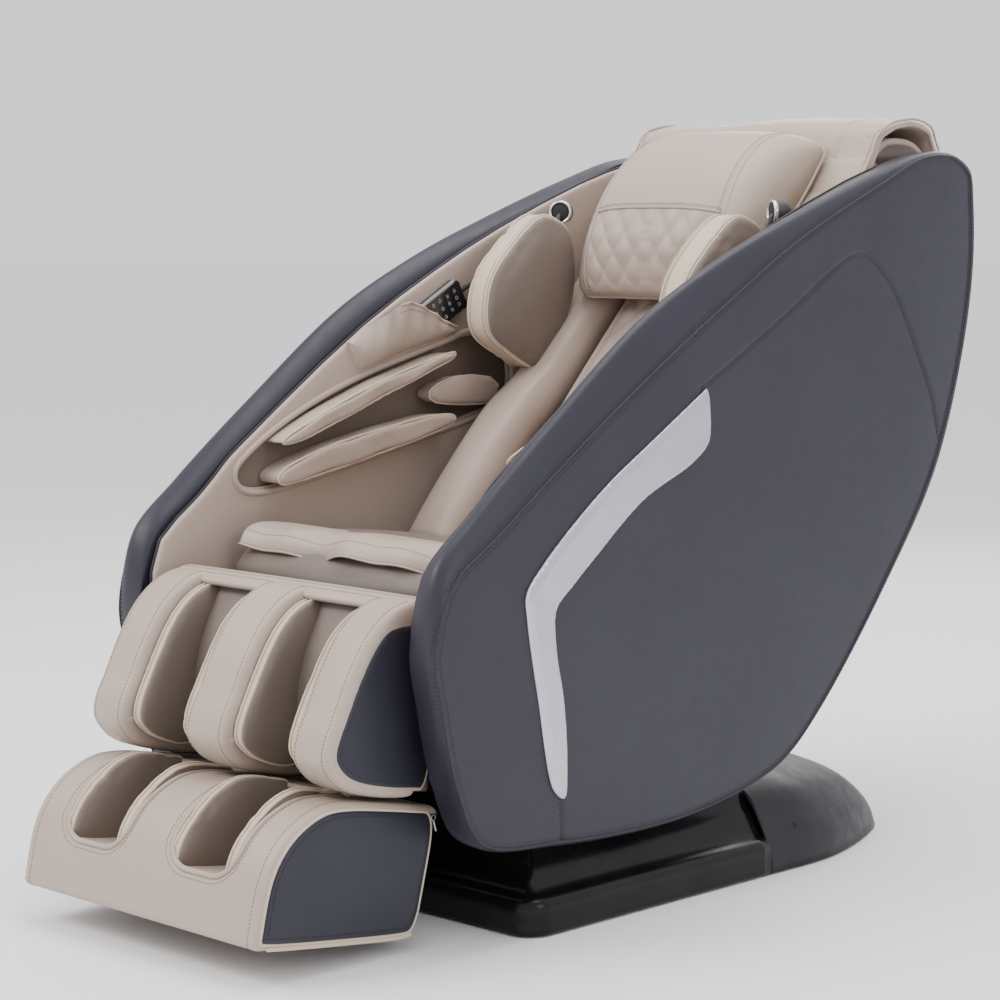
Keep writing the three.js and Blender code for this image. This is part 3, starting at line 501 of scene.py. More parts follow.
def stitches(points, pitch=0.0062, length=0.0042, radius=0.00055, closed=False):
    """A row of thread dashes along a line: (verts, faces)."""
    points = array(points)
    total = length_of(np.vstack([points, points[:1]]) if closed else points)
    places = resample(points, max(2, int(total / pitch)), closed)
    parts = []
    for place, direction in zip(places, tangents(places, closed)):
        line = [place + direction * length * t for t in (-0.5, -0.3, 0.3, 0.5)]
        parts.append(tube(line, radius, False, 5, [0.3, 1, 1, 0.3]))
    return joined(parts)


def distance_to(points, outline, closed=True):
    """Distance from each 2-D point to an outline."""
    points, outline = array(points), array(outline)
    start = outline
    end = np.roll(outline, -1, axis=0)
    if not closed:
        start, end = start[:-1], end[:-1]
    best = np.full(len(points), 1e9)
    for a, b in zip(start, end):
        edge = b - a
        t = np.clip(((points - a) @ edge) / max(edge @ edge, 1e-12), 0, 1)
        best = np.minimum(best, np.linalg.norm(points - (a + t[:, None] * edge), axis=1))
    return best


def inside(points, outline):
    """Which 2-D points lie inside an outline."""
    x, y = points[:, 0], points[:, 1]
    hit = np.zeros(len(points), bool)
    for (x0, y0), (x1, y1) in zip(outline, np.roll(outline, -1, axis=0)):
        if y0 == y1:
            continue
        crosses = ((y0 > y) != (y1 > y)) & (x < (x1 - x0) * (y - y0) / (y1 - y0) + x0)
        hit ^= crosses
    return hit


EDGE_RINGS = (0.12, 0.35, 0.7)      # where rings of points run round an edge, as shares of its width
LINE_ROWS = (-0.009, -0.005, -0.0025, 0, 0.0025, 0.005, 0.009)      # rows of points along a seam
LINE_ROOM = 0.011       # the grid keeps this far away from a seam


def filled(outline, spacing, edge, holes=(), lines=()):
    """Points and triangles that fill an outline, closer together near its edge and along lines."""
    outline = anticlockwise(outline)
    loops = [outline, *holes]
    points = [p for loop in loops for p in loop]
    for share in EDGE_RINGS:
        for loop, turn in zip(loops, [-1] + [1] * len(holes)):
            ring = anticlockwise(loop) + outward(anticlockwise(loop)) * turn * edge * share
            near = np.min([distance_to(ring, other) for other in loops], axis=0)
            keep = inside(ring, outline) & (near > edge * share * 0.8)
            points.extend(ring[keep])
    low, high = outline.min(0), outline.max(0)
    rows = np.arange(low[1], high[1], spacing * 0.866)
    grid = [(a + (spacing / 2 if k % 2 else 0), b) for k, b in enumerate(rows)
            for a in np.arange(low[0], high[0], spacing)]
    grid = array(grid)
    near = np.min([distance_to(grid, other) for other in loops], axis=0)
    keep = inside(grid, outline) & (near > edge * 0.9)
    for hole in holes:
        keep &= ~inside(grid, hole)
    for line in lines:
        keep &= distance_to(grid, line, False) > LINE_ROOM
    points.extend(grid[keep])
    for line in lines:
        for gap in LINE_ROWS:
            row = array(line) + normals(line) * gap
            points.extend(row[inside(row, outline) & (distance_to(row, outline) > edge * 0.3)])
    edges, start = [], 0
    for loop in loops:
        edges += [(start + i, start + (i + 1) % len(loop)) for i in range(len(loop))]
        start += len(loop)
    result = geometry.delaunay_2d_cdt([Vector(p) for p in points], edges, [], 1, 1e-7)
    flat = array([tuple(v) for v in result[0]])
    triangles = [tuple(f) for f in result[2]]
    if holes:
        middles = array([flat[list(f)].mean(0) for f in triangles])
        keep = np.ones(len(triangles), bool)
        for hole in holes:
            keep &= ~inside(middles, hole)
        triangles = [f for f, k in zip(triangles, keep) if k]
    return flat, triangles


def rounded(depth, edge):
    """A quarter round that rises from 0 to 1 over `edge`."""
    t = np.clip(depth / edge, 0, 1)
    return np.sqrt(np.clip(1 - (1 - t) ** 2, 0, 1))


def pad_mesh(outline, place, half, edge, crown, spread=0.05, spacing=0.008, back=None,
             detail=None, holes=(), waist=0.0, lines=()):
    """A boxed pad: crowned front, side wall and back. place(a, b, h) gives world points."""
    flat, triangles = filled(outline, spacing, edge, holes, lines)
    loops = [anticlockwise(outline), *holes]
    depth = np.min([distance_to(flat, loop) for loop in loops], axis=0)
    rise = rounded(depth, edge) * edge + crown * (1 - np.exp(-depth / spread))
    if detail is not None:
        rise = rise + detail(flat, depth)
    front = half + rise
    rear = -half - (rounded(depth, edge) * edge if back is None else back(flat, depth))
    count = len(flat)
    verts = [place(a, b, h) for (a, b), h in zip(flat, front)]
    verts += [place(a, b, h) for (a, b), h in zip(flat, rear)]
    faces = list(triangles)
    faces += [(a + count, c + count, b + count) for a, b, c in triangles]
    if half > 0:
        uses = Counter(tuple(sorted(pair)) for t in triangles for pair in zip(t, t[1:] + t[:1]))
        rim = [pair for pair, n in uses.items() if n == 1]
        middle, centre = {}, flat.mean(0)
        for key in {i for pair in rim for i in pair}:
            a, b = flat[key] + (centre - flat[key]) / np.linalg.norm(centre - flat[key]) * waist
            middle[key] = len(verts)
            verts.append(place(a, b, 0.0))
        for a, b in rim:
            faces.append((a, b, middle[b], middle[a]))
            faces.append((middle[a], middle[b], b + count, a + count))
    return verts, faces


def flat_back(flat, depth):
    return 0 * depth


def on_side(side, x):
    """A place function for pads that stand on a wall at |x|, facing the middle of the chair."""
    return lambda a, b, h: (side * (x - h), a, b)


def mirror_line(points, side):
    points = array(points).copy()
    points[:, 0] *= side
    return points


def mirrored(mesh, side):
    return mirror_line(mesh[0], side), mesh[1]


def at_x(outline, x):
    """(y, z) points as world points on the plane at x."""
    outline = array(outline)
    return np.column_stack([np.full(len(outline), x), outline])


def groove(distance, depth, width):
    """A seam's valley: how far the surface dips at a distance from the seam."""
    return -depth * np.exp(-(distance / width) ** 2)


def quilt(s, u, height, cell=(0.056, 0.078)):
    """Puffed diamonds between two crossing sets of stitched lines."""
    a = np.abs(np.sin(math.pi * (u / cell[0] + s / cell[1])))
    b = np.abs(np.sin(math.pi * (u / cell[0] - s / cell[1])))
    return height * ((a * b + 1e-6) ** 0.42 - 1)


def graded(length, edge, step):
    """Positions along a length, close together where its ends are rounded."""
    edge = min(edge, length / 2)
    bend = edge * (1 - np.cos(np.linspace(0, math.pi / 2, 7)))
    middle = np.linspace(edge, length - edge, max(2, int((length - 2 * edge) / step) + 1))
    return np.concatenate([bend[:-1], middle, (length - bend[::-1])[1:]])


class Sweep:
    """A pad that follows a (y, z) profile and spans x0 to x1, with every edge rounded."""

    def __init__(self, profile, x0, x1, depth, edge, crown=0.0, step=0.006, detail=None,
                 flip=False):
        self.path = spline(profile, 400)
        self.length = length_of(self.path)
        self.out = normals(self.path) * (1 if flip else -1)
        self.half, self.middle = abs(x1 - x0) / 2, (x0 + x1) / 2
        self.depth, self.edge, self.crown, self.step = depth, edge, crown, step
        self.detail = detail

    def rise(self, s, u):
        """Height of the face above the profile."""
        end = np.minimum(s, self.length - s)
        a = 1 - np.clip((self.half - np.abs(u)) / self.edge, 0, 1)
        b = 1 - np.clip(end / self.edge, 0, 1)
        reach = np.minimum(1, np.sqrt(a * a + b * b))
        height = self.edge * (np.sqrt(1 - reach ** 2) - 1)
        swell = (1 - np.abs(u / self.half) ** 2.6) * (1 - np.abs(2 * s / self.length - 1) ** 8)
        height = height + self.crown * swell
        if self.detail is not None:
            height = height + self.detail(s, u) * (1 - reach)
        return height

    def on_path(self, s, height):
        """(y, z) at a distance along the profile and a height above it."""
        index = np.clip(s / self.length, 0, 1) * (len(self.path) - 1)
        return at_index(self.path, index) + at_index(self.out, index) * array(height)[..., None]

    def at(self, s, u, lift=0.0):
        """World points on the pad's face; u is measured from the middle of its width."""
        s, u = np.broadcast_arrays(array(s), array(u))
        place = self.on_path(s, self.rise(s, u) + lift)
        return np.concatenate([(u + self.middle)[..., None], place], -1)

    def mesh(self):
        s = graded(self.length, self.edge, self.step)
        across = graded(2.0, self.edge / self.half, self.step / self.half) - 1
        grid_s, grid_v = np.meshgrid(s, across, indexing="ij")
        grid_u = grid_v * self.half
        front = self.at(grid_s, grid_u)
        rear = self.at(grid_s, grid_u, -self.rise(grid_s, grid_u) - self.depth)
        rows, columns = grid_s.shape
        count = rows * columns
        verts = np.vstack([front.reshape(-1, 3), rear.reshape(-1, 3)])
        faces = []
        for a, b, c, d in ring_faces(rows, columns, False):
            faces += [(a, b, c, d), (a + count, d + count, c + count, b + count)]
        rim = grid_rim(rows, columns)
        faces += [(b, a, a + count, b + count) for a, b in zip(rim, rim[1:] + rim[:1])]
        return verts, faces

    def border(self, inset, lift, count):
        """The closed line round the pad's face, a distance in from its edge."""
        s = np.linspace(inset, self.length - inset, count // 2)
        right = self.at(s, self.half - inset, lift)
        left = self.at(s[::-1], inset - self.half, lift)
        return resample(np.vstack([right, left]), count, True)

    def stitched(self, u, margin, count, lift=0.0003):
        """A row of stitches along the pad at u, from a margin to a margin."""
        s = np.linspace(margin, self.length - margin, count)
        return stitches(self.at(s, u, lift))


# ------------------------------------------------------------------ cloth
CLOTH_MOVES = {}    # for each inflated piece, where its points were and how far each has moved


def sew(detail, *covers):
    """Moves a welt or a row of stitches along with the inflated covers that it is sewn to."""
    moved = [CLOTH_MOVES[name] for name in covers if name in CLOTH_MOVES]
    if not moved:
        return
    for vertex in bpy.data.objects[detail].data.vertices:
        near = [(places.find(vertex.co), shifts) for places, shifts in moved]
        (_, index, _), shifts = min(near, key=lambda found: found[0][2])
        vertex.co += shifts[index]


def sew_all():
    for detail, cover in (("back_stitches", "back_centre"), ("pillow_stitches", "pillow_cover"),
                          ("pillow_welt", "pillow_cover"), ("pillow_cross_welt", "pillow_cover"),
                          ("top_flap_piping", "top_flap_cover"),
                          ("top_flap_stitches", "top_flap_cover"),
                          ("seat_cushion_cover_welt", "seat_cushion_cover"),
                          ("seat_nose_cover_welt", "seat_nose_cover")):
        sew(detail, cover)
    sew("calf_band_stitches", *(f"calf_band_{tag}" for tag in ("centre", "left", "right")))
    for _, tag in SIDES:
        for detail, cover in (("wing_welts", "wing"), ("wing_stitches", "wing"),
                              ("back_bolster_stitches", "back_bolster_cover"),
                              ("elbow_welt", "elbow_cushion"),
                              ("arm_upper_pad_welt", "arm_upper_pad_cushion"),
                              ("arm_lower_pad_welt", "arm_lower_pad_cushion")):
            sew(f"{detail}_{tag}", f"{cover}_{tag}")
        for cheek in ("calf_cheek_inner", "calf_cheek_outer", "foot_cheek_inner",
                      "foot_cheek_outer"):
            sew(f"{cheek}_{tag}_welts", f"{cheek}_{tag}")


CLOTH_FRAMES = 20
CLOTH = {
    "quality": 5, "mass": 0.4, "tension_stiffness": 12, "compression_stiffness": 12,
    "bending_stiffness": 2.5, "use_pressure": True, "uniform_pressure_force": 4.0,
    "shrink_min": -0.03,
}


def billow(obj, cap, voxel=0.012):
    """Inflates a coarse copy as cloth and moves the detailed mesh with it, at most `cap`."""
    scene = bpy.context.scene
    copy = added(obj.name + ".cloth", obj.data.copy())
    bpy.context.view_layer.objects.active = copy
    for other in bpy.context.selected_objects:
        other.select_set(False)
    copy.select_set(True)
    copy.data.remesh_voxel_size = voxel
    bpy.ops.object.voxel_remesh()
    start = np.array([v.co for v in copy.data.vertices])
    cloth = copy.modifiers.new("cloth", "CLOTH")
    for key, value in CLOTH.items():
        setattr(cloth.settings, key, value)
    cloth.settings.effector_weights.gravity = 0
    cloth.point_cache.frame_start = 1
    cloth.point_cache.frame_end = CLOTH_FRAMES
    for number in range(1, CLOTH_FRAMES + 1):
        scene.frame_set(number)
    shaped = copy.evaluated_get(bpy.context.evaluated_depsgraph_get())
    end = np.array([v.co for v in shaped.data.vertices])
    scene.frame_set(1)
    move = end - start
    length = np.linalg.norm(move, axis=1, keepdims=True)
    move *= np.minimum(1, cap / np.maximum(length, 1e-9))
    tree = KDTree(len(start))
    for i, co in enumerate(start):
        tree.insert(co, i)
    tree.balance()
    places = KDTree(len(obj.data.vertices))
    shifts = []
    for vertex in obj.data.vertices:
        total, weight = Vector((0, 0, 0)), 0.0
        for _, index, distance in tree.find_n(vertex.co, 6):
            share = 1 / (distance + 0.002) ** 2
            total += Vector(move[index]) * share
            weight += share
        places.insert(vertex.co, vertex.index)
        shifts.append(total / weight)
        vertex.co += total / weight
    places.balance()
    CLOTH_MOVES[obj.name] = (places, shifts)
    data = copy.data
    bpy.data.objects.remove(copy)
    bpy.data.meshes.remove(data)


# ------------------------------------------------------------------ side shells
SHELL_OUT = 0.392
SHELL_IN = 0.332
PANEL_IN = 0.318
# [inset of the outer seam, y, z] along the crest of a shell's rim, in millimetres
RIM = [
    [6, -750, 484], [32, -730, 606], [50, -638, 692], [65, -455, 835], [80, -257, 977],
    [66, -68, 1070], [41, 106, 1136], [23, 333, 1212], [8, 490, 1254], [15, 582, 1258],
    [30, 645, 1230], [34, 660, 1165], [34, 662, 1050], [34, 634, 894], [32, 551, 674],
    [26, 393, 465], [20, 208, 269], [14, 110, 198], [12, 17, 164], [12, -187, 133],
    [12, -476, 140], [8, -650, 171], [5, -703, 266], [8, -738, 396],
]
# (x in millimetres, share of the seam's inset) from inside the shell over the crest to the seam
RIM_SECTION = [
    (333, 1.15), (332, 0.8), (332, 0.56), (333, 0.44), (336, 0.34), (341, 0.24), (348, 0.14),
    (357, 0.045), (366, 0.0), (372, 0.025), (377, 0.1), (381.5, 0.23), (385.5, 0.4),
    (388.5, 0.58), (390.5, 0.76), (391.5, 0.9), (391.6, 0.955), (391.5, 0.985), (389.6, 1.0),
]
STATIONS = 340
ACCENT_SEAM = [[-131, 862], [70, 968], [274, 1076], [311, 1074], [380, 1023], [428, 958],
               [468, 892], [510, 820], [537, 746], [560, 690]]
TOE_SEAM = [[-474, 222], [-470, 180], [-468, 150]]
SHELL_DOME = 0.005
RIM_CURVE = spline(array(RIM), STATIONS, True)


def shell_outline(share, extra=0.0):
    """The shell's outline in metres at a share of the seam's inset plus a fixed inset."""
    flat = RIM_CURVE[:, 1:]
    inward = -outward(flat) if area_of(flat) > 0 else outward(flat)
    inset = (RIM_CURVE[:, :1] * share + extra / MM)
    return (flat + inward * inset) * MM


SEAM_LINE = shell_outline(1.0)
ACCENT_LINE = spline(millimetres(ACCENT_SEAM), 150)
TOE_LINE = spline(millimetres(TOE_SEAM), 24)


def band_line(gap):
    """A line on the rim's band, a distance from the outer seam towards the crest."""
    line = []
    crest = [x for x, _ in RIM_SECTION].index(366)
    rows = [at_x(shell_outline(share), x * MM) for x, share in RIM_SECTION[crest:-2]][::-1]
    for column in np.stack(rows, axis=1):
        along = travelled(column)
        line.append([np.interp(gap, along, column[:, k]) for k in range(3)])
    return array(line)


def shell_face(points):
    """Height of the outer panel above the shell's outer plane."""
    points = array(points)
    depth = distance_to(points, SEAM_LINE)
    rise = SHELL_DOME * (1 - np.exp(-depth / 0.07)) + 0.0021 * rounded(depth, 0.005) - 0.0021
    for line in (ACCENT_LINE, TOE_LINE):
        rise += groove(distance_to(points, line, False), 0.0032, 0.0026)
    return rise


def on_shell(line, lift=0.0):
    """(y, z) points as world points on the left shell's outer face."""
    return np.column_stack([SHELL_OUT + shell_face(line) + lift, line])


def make_shell(side, tag):
    rings = [at_x(shell_outline(share), x * MM) for x, share in RIM_SECTION]
    rim = [v for ring in rings for v in ring], ring_faces(len(rings), STATIONS)
    flat, triangles = filled(SEAM_LINE, 0.016, 0.016, (), (ACCENT_LINE, TOE_LINE))
    inner, inner_triangles = filled(shell_outline(RIM_SECTION[0][1]), 0.03, 0.02)
    lining = at_x(inner, SHELL_IN + 0.001), [t[::-1] for t in inner_triangles]
    whole = joined([rim, (on_shell(flat), triangles), lining])
    piece(f"shell_{tag}", mirrored(whole, side), SHELL, "capsule", [f"shell_{tag}"])
    rows = [stitches(band_line(gap) + (0.0003, 0, 0), radius=0.0006, closed=True, **SHELL_STITCH)
            for gap in (0.0075, 0.0115)]
    rows.append(stitches(on_shell(shell_outline(1.0, 0.006), 0.0002), radius=0.0005, closed=True,
                         **SHELL_STITCH))
    for line in (ACCENT_LINE, TOE_LINE):
        row = line + normals(line) * 0.005
        row = row[inside(row, SEAM_LINE)]
        rows.append(stitches(on_shell(row, 0.0002), radius=0.0005, **SHELL_STITCH))
    piece(f"shell_stitches_{tag}", mirrored(joined(rows), side), SHELL_THREAD, "capsule",
          slot="shell_leatherette")
    welt = tube(band_line(0.0022) + (0.0002, 0, 0), 0.0021, True)
    piece(f"shell_welt_{tag}", mirrored(welt, side), SHELL, "capsule")
    # dark hairline tubes along the outer seam and in the accent and toe grooves: painted shade in the
    # seams
    lines = [tube(at_x(shell_outline(1.0, 0.0003), 0.3908), 0.0012, True, 6)]
    lines += [tube(on_shell(line[inside(line, SEAM_LINE)], -0.0002), 0.0005, False, 6)
              for line in (ACCENT_LINE, TOE_LINE)]
    piece(f"shell_seams_{tag}", mirrored(joined(lines), side), SEAM_SHADE, "capsule")


# ------------------------------------------------------------------ silver trims
TRIM = [
    [-128, 860], [-122, 773], [-162, 739], [-286, 685], [-406, 598], [-452, 562], [-491, 526],
    [-491, 463], [-474, 380], [-467, 283], [-474, 222], [-497, 239], [-532, 388], [-557, 518],
    [-559, 557], [-521, 601], [-383, 709], [-263, 781],
]
TRIM_BRIGHT = [[-128, 860], [-263, 781], [-383, 709], [-521, 601], [-559, 557], [-557, 518],
               [-532, 388], [-497, 239], [-486, 222]]
TRIM_RIDGE = 0.015      # how far the ridge lies from the bright edge


def make_trim(side, tag):
    """A satin strip with a crisp ridge along its upper and front edge."""
    outline = anticlockwise(spline(array(TRIM + TRIM[:1]) * MM, 300)[:-1])
    bright = spline(millimetres(TRIM_BRIGHT), 120)

    def relief(flat, depth):
        edge = distance_to(flat, bright, False)
        rise = 0.0034 * np.minimum(edge / TRIM_RIDGE, 1)
        return rise - 0.003 * np.clip((edge - TRIM_RIDGE) / 0.05, 0, 1)

    def place(a, b, h):
        return (side * (SHELL_OUT + SHELL_DOME * 0.86 + 0.0006 + h), a, b)

    inner = grown(outline, -TRIM_RIDGE)
    off_ridge = np.abs(distance_to(inner, bright, False) - TRIM_RIDGE)
    crease = inner[inside(inner, outline) & (off_ridge < 0.002)]
    mesh = pad_mesh(outline, place, 0.0014, 0.0016, 0.0, spacing=0.0045, detail=relief,
                    lines=[crease[np.argsort(-crease[:, 1])]], back=flat_back)
    piece(f"trim_{tag}", mesh, SILVER, "capsule", [f"trim_{tag}"])


# ------------------------------------------------------------------ arms
def cad_loops(node, x):
    """Every (y, z) loop of a node in the plane nearest to |x|, the largest first."""
    mesh = bmesh.new()
    mesh.from_mesh(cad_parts[node].data)
    bmesh.ops.remove_doubles(mesh, verts=mesh.verts, dist=1e-5)
    levels = {round(v.co.x, 4) for v in mesh.verts}
    level = min(levels, key=lambda value: abs(abs(value) - x))
    links, place = {}, {}
    for edge in mesh.edges:
        a, b = edge.verts
        flat = [abs(f.normal.x) > 0.999 for f in edge.link_faces]
        if abs(a.co.x - level) < 1e-4 and abs(b.co.x - level) < 1e-4 and not all(flat):
            links.setdefault(a.index, []).append(b.index)
            links.setdefault(b.index, []).append(a.index)
            place[a.index], place[b.index] = (a.co.y, a.co.z), (b.co.y, b.co.z)
    mesh.free()
    loops, seen = [], set()
    for start in links:
        if start in seen:
            continue
        loop, here = [], start
        while here is not None:
            seen.add(here)
            loop.append(place[here])
            here = next((n for n in links[here] if n not in seen), None)
        if len(loop) > 2:
            loops.append(anticlockwise(loop))
    return sorted(loops, key=lambda points: -abs(area_of(points)))


def cad_outline(node, x, count, rounds):
    """A node's outline in the plane nearest to |x|, smoothed."""
    return anticlockwise(smooth(cad_loops(node, x)[0], count, True, rounds))


def x_span(node):
    """A node's smallest and largest |x|."""
    low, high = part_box(node)
    return sorted((abs(low[0]), abs(high[0])))


CHANNEL = anticlockwise(smooth(cad_loops("arm_panel_left", PANEL_IN)[1], 200, True, 3))
ARM_WALL = cad_loops("arm_panel_left", PANEL_IN)[0]


def make_arm_panel(side, tag):
    """The padded inner wall of an arm, open where the forearm goes."""
    outline = resample(ARM_WALL, 420, True)
    behind = np.clip((outline[:, 0] + 0.66) / 0.1, 0, 1)
    above = behind * np.clip((outline[:, 1] - 0.62) / 0.1, 0, 1)
    outline = outline + outward(outline) * (0.011 * above)[:, None]

    def swell(flat, depth):
        return 0.002 * np.sin(flat[:, 0] * 11 + flat[:, 1] * 5) * np.clip(depth / 0.05, 0, 1)

    place = on_side(side, (SHELL_IN + PANEL_IN) / 2 - 0.002)
    mesh = pad_mesh(outline, place, 0.001, 0.0065, 0.002, spacing=0.012, detail=swell,
                    holes=[CHANNEL], back=lambda flat, depth: 0 * depth + 0.003)
    piece(f"arm_wall_{tag}", mesh, TAUPE, "capsule", [f"arm_panel_{tag}"],
          slot="dark_taupe_leatherette")
    inner = PANEL_IN - 0.0005
    lips = [tube(at_x(grown(CHANNEL, 0.0055), side * (inner - 0.001)), 0.0062, True, 12),
            tube(at_x(grown(CHANNEL, 0.0), side * (inner + 0.006)), 0.0042, True, 10)]
    piece(f"arm_lips_{tag}", joined(lips), TAUPE, "capsule", [f"arm_lip_{tag}"])
    edge = tube(at_x(grown(outline, 0.0014), side * (PANEL_IN + 0.0065)), 0.0024, True)
    piece(f"arm_wall_welt_{tag}", edge, SHELL, "capsule")
    row = at_x(grown(CHANNEL, 0.0155), side * (inner + 0.0008))
    piece(f"arm_wall_stitches_{tag}", stitches(row, radius=0.0005, closed=True), THREAD, "capsule")
    flat, triangles = filled(resample(grown(CHANNEL, 0.006), 160, True), 0.02, 0.01)
    lining = joined([(at_x(flat, side * (SHELL_IN - 0.0015)), triangles),
                     (at_x(flat, side * (SHELL_IN - 0.0005)), [t[::-1] for t in triangles])])
    piece(f"arm_channel_lining_{tag}", lining, DARK, "capsule")


# for each part: the level, points and smoothing of its CAD outline; its edge, crown and sink; how far
# it billows; its fill; and its welt's growth, lift and radius
ARM_PADS = {
    "arm_upper_pad": ((0.28, 200, 2), (0.006, 0.001, 0.007), 0.005, 0.7, (0.0012, 0.0, 0.0022)),
    "arm_lower_pad": ((0.28, 200, 2), (0.006, 0.001, 0.007), 0.005, 0.7, (0.0012, 0.0, 0.0022)),
    "elbow_pad": ((0.3, 140, 1), (0.008, 0.003, 0.009), 0.007, 0.8, (0.0005, 0.001, 0.002)),
}


def make_arm_pads(side, tag):
    """The soft pads along the arm's channel, each with a cream welt round its face."""
    for part, (level, (edge, crown, sink), cap, fill, (growth, lift, radius)) in ARM_PADS.items():
        node = f"{part}_{tag}"
        name = part if part != "elbow_pad" else "elbow"
        outline = cad_outline(node, *level)
        x_in, _ = x_span(node)
        middle, half = (x_in + SHELL_IN) / 2, (SHELL_IN - x_in) / 2 - sink
        mesh = pad_mesh(outline, on_side(side, middle), half, edge, crown, spacing=0.006)
        pad = piece(f"{name}_cushion_{tag}", mesh, TAUPE, "capsule", [node])
        if name != "elbow":
            ripple(pad)
        billow(pad, cap, 0.008)
        welt = at_x(grown(outline, growth), side * (middle - half - lift))
        piece(f"{name}_welt_{tag}", tube(welt, radius, True), CREAM, "capsule")


RIPPLE_HEIGHT, RIPPLE_RATE, RIPPLE_PHASE = 0.0016, 46.0, 3.0


def ripple(obj):
    """Small soft waves along a pad, as thin foam under coated fabric has."""
    for vertex in obj.data.vertices:
        x, y, _ = vertex.co
        along = math.sin(RIPPLE_RATE * y + RIPPLE_PHASE)
        vertex.co.z += RIPPLE_HEIGHT * (along * math.cos(RIPPLE_RATE * 0.7 * x + RIPPLE_PHASE * 2))


# ------------------------------------------------------------------ remote, pocket and lead
REMOTE = {"length": 0.135, "width": 0.062, "thick": 0.02, "place": (-0.305, -0.0684, 0.9697),
          "lean": 0.51}
# (along, across) places of the pressed keys and of the printed rings on the remote's face
KEYS = [(along, across) for along in (0.045, 0.024) for across in (-0.014, 0.014)]
MARKS = [(along, across) for along in (0.0045, -0.0135) for across in (-0.017, 0.0, 0.017)]
MARKS += [(0.045, 0.0), (0.024, 0.0)]
CORD = [
    [-305, -8.8, 1003.1], [-305, 2, 1009], [-304.5, 16, 1015], [-304, 33, 1018],
    [-304, 51, 1014], [-304, 69, 1000], [-304, 84, 978], [-304, 96, 948], [-304, 105, 915],
    [-304, 115, 885], [-304, 131, 865], [-304, 151, 860], [-304, 170, 870], [-304, 182, 895],
    [-304, 187, 925], [-304, 189, 955],
]
CORD_RADIUS = 0.0025


def on_remote(along, across, out):
    """A world point from a place on the remote."""
    c, s = math.cos(REMOTE["lean"]), math.sin(REMOTE["lean"])
    x, y, z = REMOTE["place"]
    return (x + out, y + along * c - across * s, z + along * s + across * c)


def rounded_box(length, width, radius, steps=10):
    points = []
    for cx, cy, start in ((1, 1, 0), (-1, 1, 90), (-1, -1, 180), (1, -1, 270)):
        for angle in np.radians(np.linspace(start, start + 90, steps)):
            points.append((cx * (length / 2 - radius) + radius * math.cos(angle),
                           cy * (width / 2 - radius) + radius * math.sin(angle)))
    return anticlockwise(points)


def make_remote():
    half = REMOTE["thick"] / 2 - 0.003
    outline = rounded_box(REMOTE["length"] - 0.001, REMOTE["width"] - 0.001, 0.012)

    def dish(flat, depth):
        gap = np.min([np.max(np.abs(flat - key), axis=1) for key in array(KEYS)], axis=0)
        return np.where(gap < 0.0052, -0.0016, 0.0)

    mesh = pad_mesh(outline, on_remote, half, 0.003, 0.0005, spacing=0.0022, detail=dish)
    piece("remote_case", mesh, GLOSS, "capsule", ["remote"])
    rim = [on_remote(a, b, 0.0055) for a, b in grown(outline, 0.0004)]
    piece("remote_edge_strip", tube(rim, 0.0007, True), ZINC, "capsule")
    parts = []
    for along, across in MARKS:
        ring = [on_remote(along + 0.0034 * math.cos(t), across + 0.0034 * math.sin(t), 0.0105)
                for t in around(16)]
        parts.append(tube(ring, 0.0003, True, 5))
        bar = [on_remote(along + t, across, 0.0105) for t in (-0.0012, 0.0, 0.0012)]
        parts.append(tube(bar, 0.00035, False, 5))
    piece("remote_marks", joined(parts), PRINT, "capsule")
    for number, (along, across) in enumerate(KEYS, 1):
        outline = rounded_box(0.0088, 0.0088, 0.0024, 5) + (along, across)
        mesh = pad_mesh(outline, lambda a, b, h: on_remote(a, b, 0.0099 + h), 0.0012, 0.0008,
                        0.0003, spacing=0.0014)
        body = f"key_{number}"
        piece(f"remote_key_cap_{number}", mesh, KEY, body, [f"remote_key_{number}"])
        bar = [on_remote(along + t, across, 0.0121) for t in (-0.002, 0.0, 0.002)]
        piece(f"remote_key_mark_{number}", tube(bar, 0.0004, False, 5), PRINT, body)


def make_cord():
    """The remote's lead, one open spline from the remote's top to its gland."""
    points = spline(millimetres(CORD), 40)
    data = bpy.data.curves.new("remote_lead", "CURVE")
    data.dimensions = "3D"
    data.bevel_depth = CORD_RADIUS
    data.bevel_resolution = 5
    line = data.splines.new("POLY")
    line.points.add(len(points) - 1)
    for point, place in zip(line.points, points):
        point.co = (*place, 1)
    line.use_smooth = True
    lead = added("remote_lead", data)
    data.materials.append(CORD_BLACK)
    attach(lead, "capsule")
    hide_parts("remote_cord")
    relief_path = spline(points[:6], 16)
    taper = np.linspace(1.9, 1.15, 16) * (1 + 0.12 * (np.arange(16) % 2))
    relief = piece("remote_strain_relief", tube(relief_path, CORD_RADIUS, False, 12, taper), RUBBER,
                   "capsule", slot="cord_black")
    low, high = (array(v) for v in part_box("cord_gland"))
    middle_x, middle_y = CORD[-1][0] * MM, CORD[-1][1] * MM
    stem = [(middle_x, middle_y, low[2] + t * (high[2] - low[2])) for t in np.linspace(0, 0.75, 14)]
    sizes = 1 + 0.9 * np.linspace(0, 1, 14) ** 2 + 0.12 * (np.arange(14) % 2)
    gland = piece("lead_gland", tube(stem, 0.0032, False, 14, sizes), SATIN, "capsule",
                  ["cord_gland"])
    length_of(points)


POCKET_KEEL = [[-287, 918], [-276, 890], [-259, 866], [-159, 891], [-55, 918], [-23, 927],
               [-13, 936]]
POCKET_MOUTH = [[-287, 918], [-229, 954], [-168, 986], [-125, 974], [-57, 946], [-13, 936]]
POCKET_ROWS, POCKET_COLUMNS = 26, 90
POCKET_OPEN = 36        # the mouth is hemmed from this column on


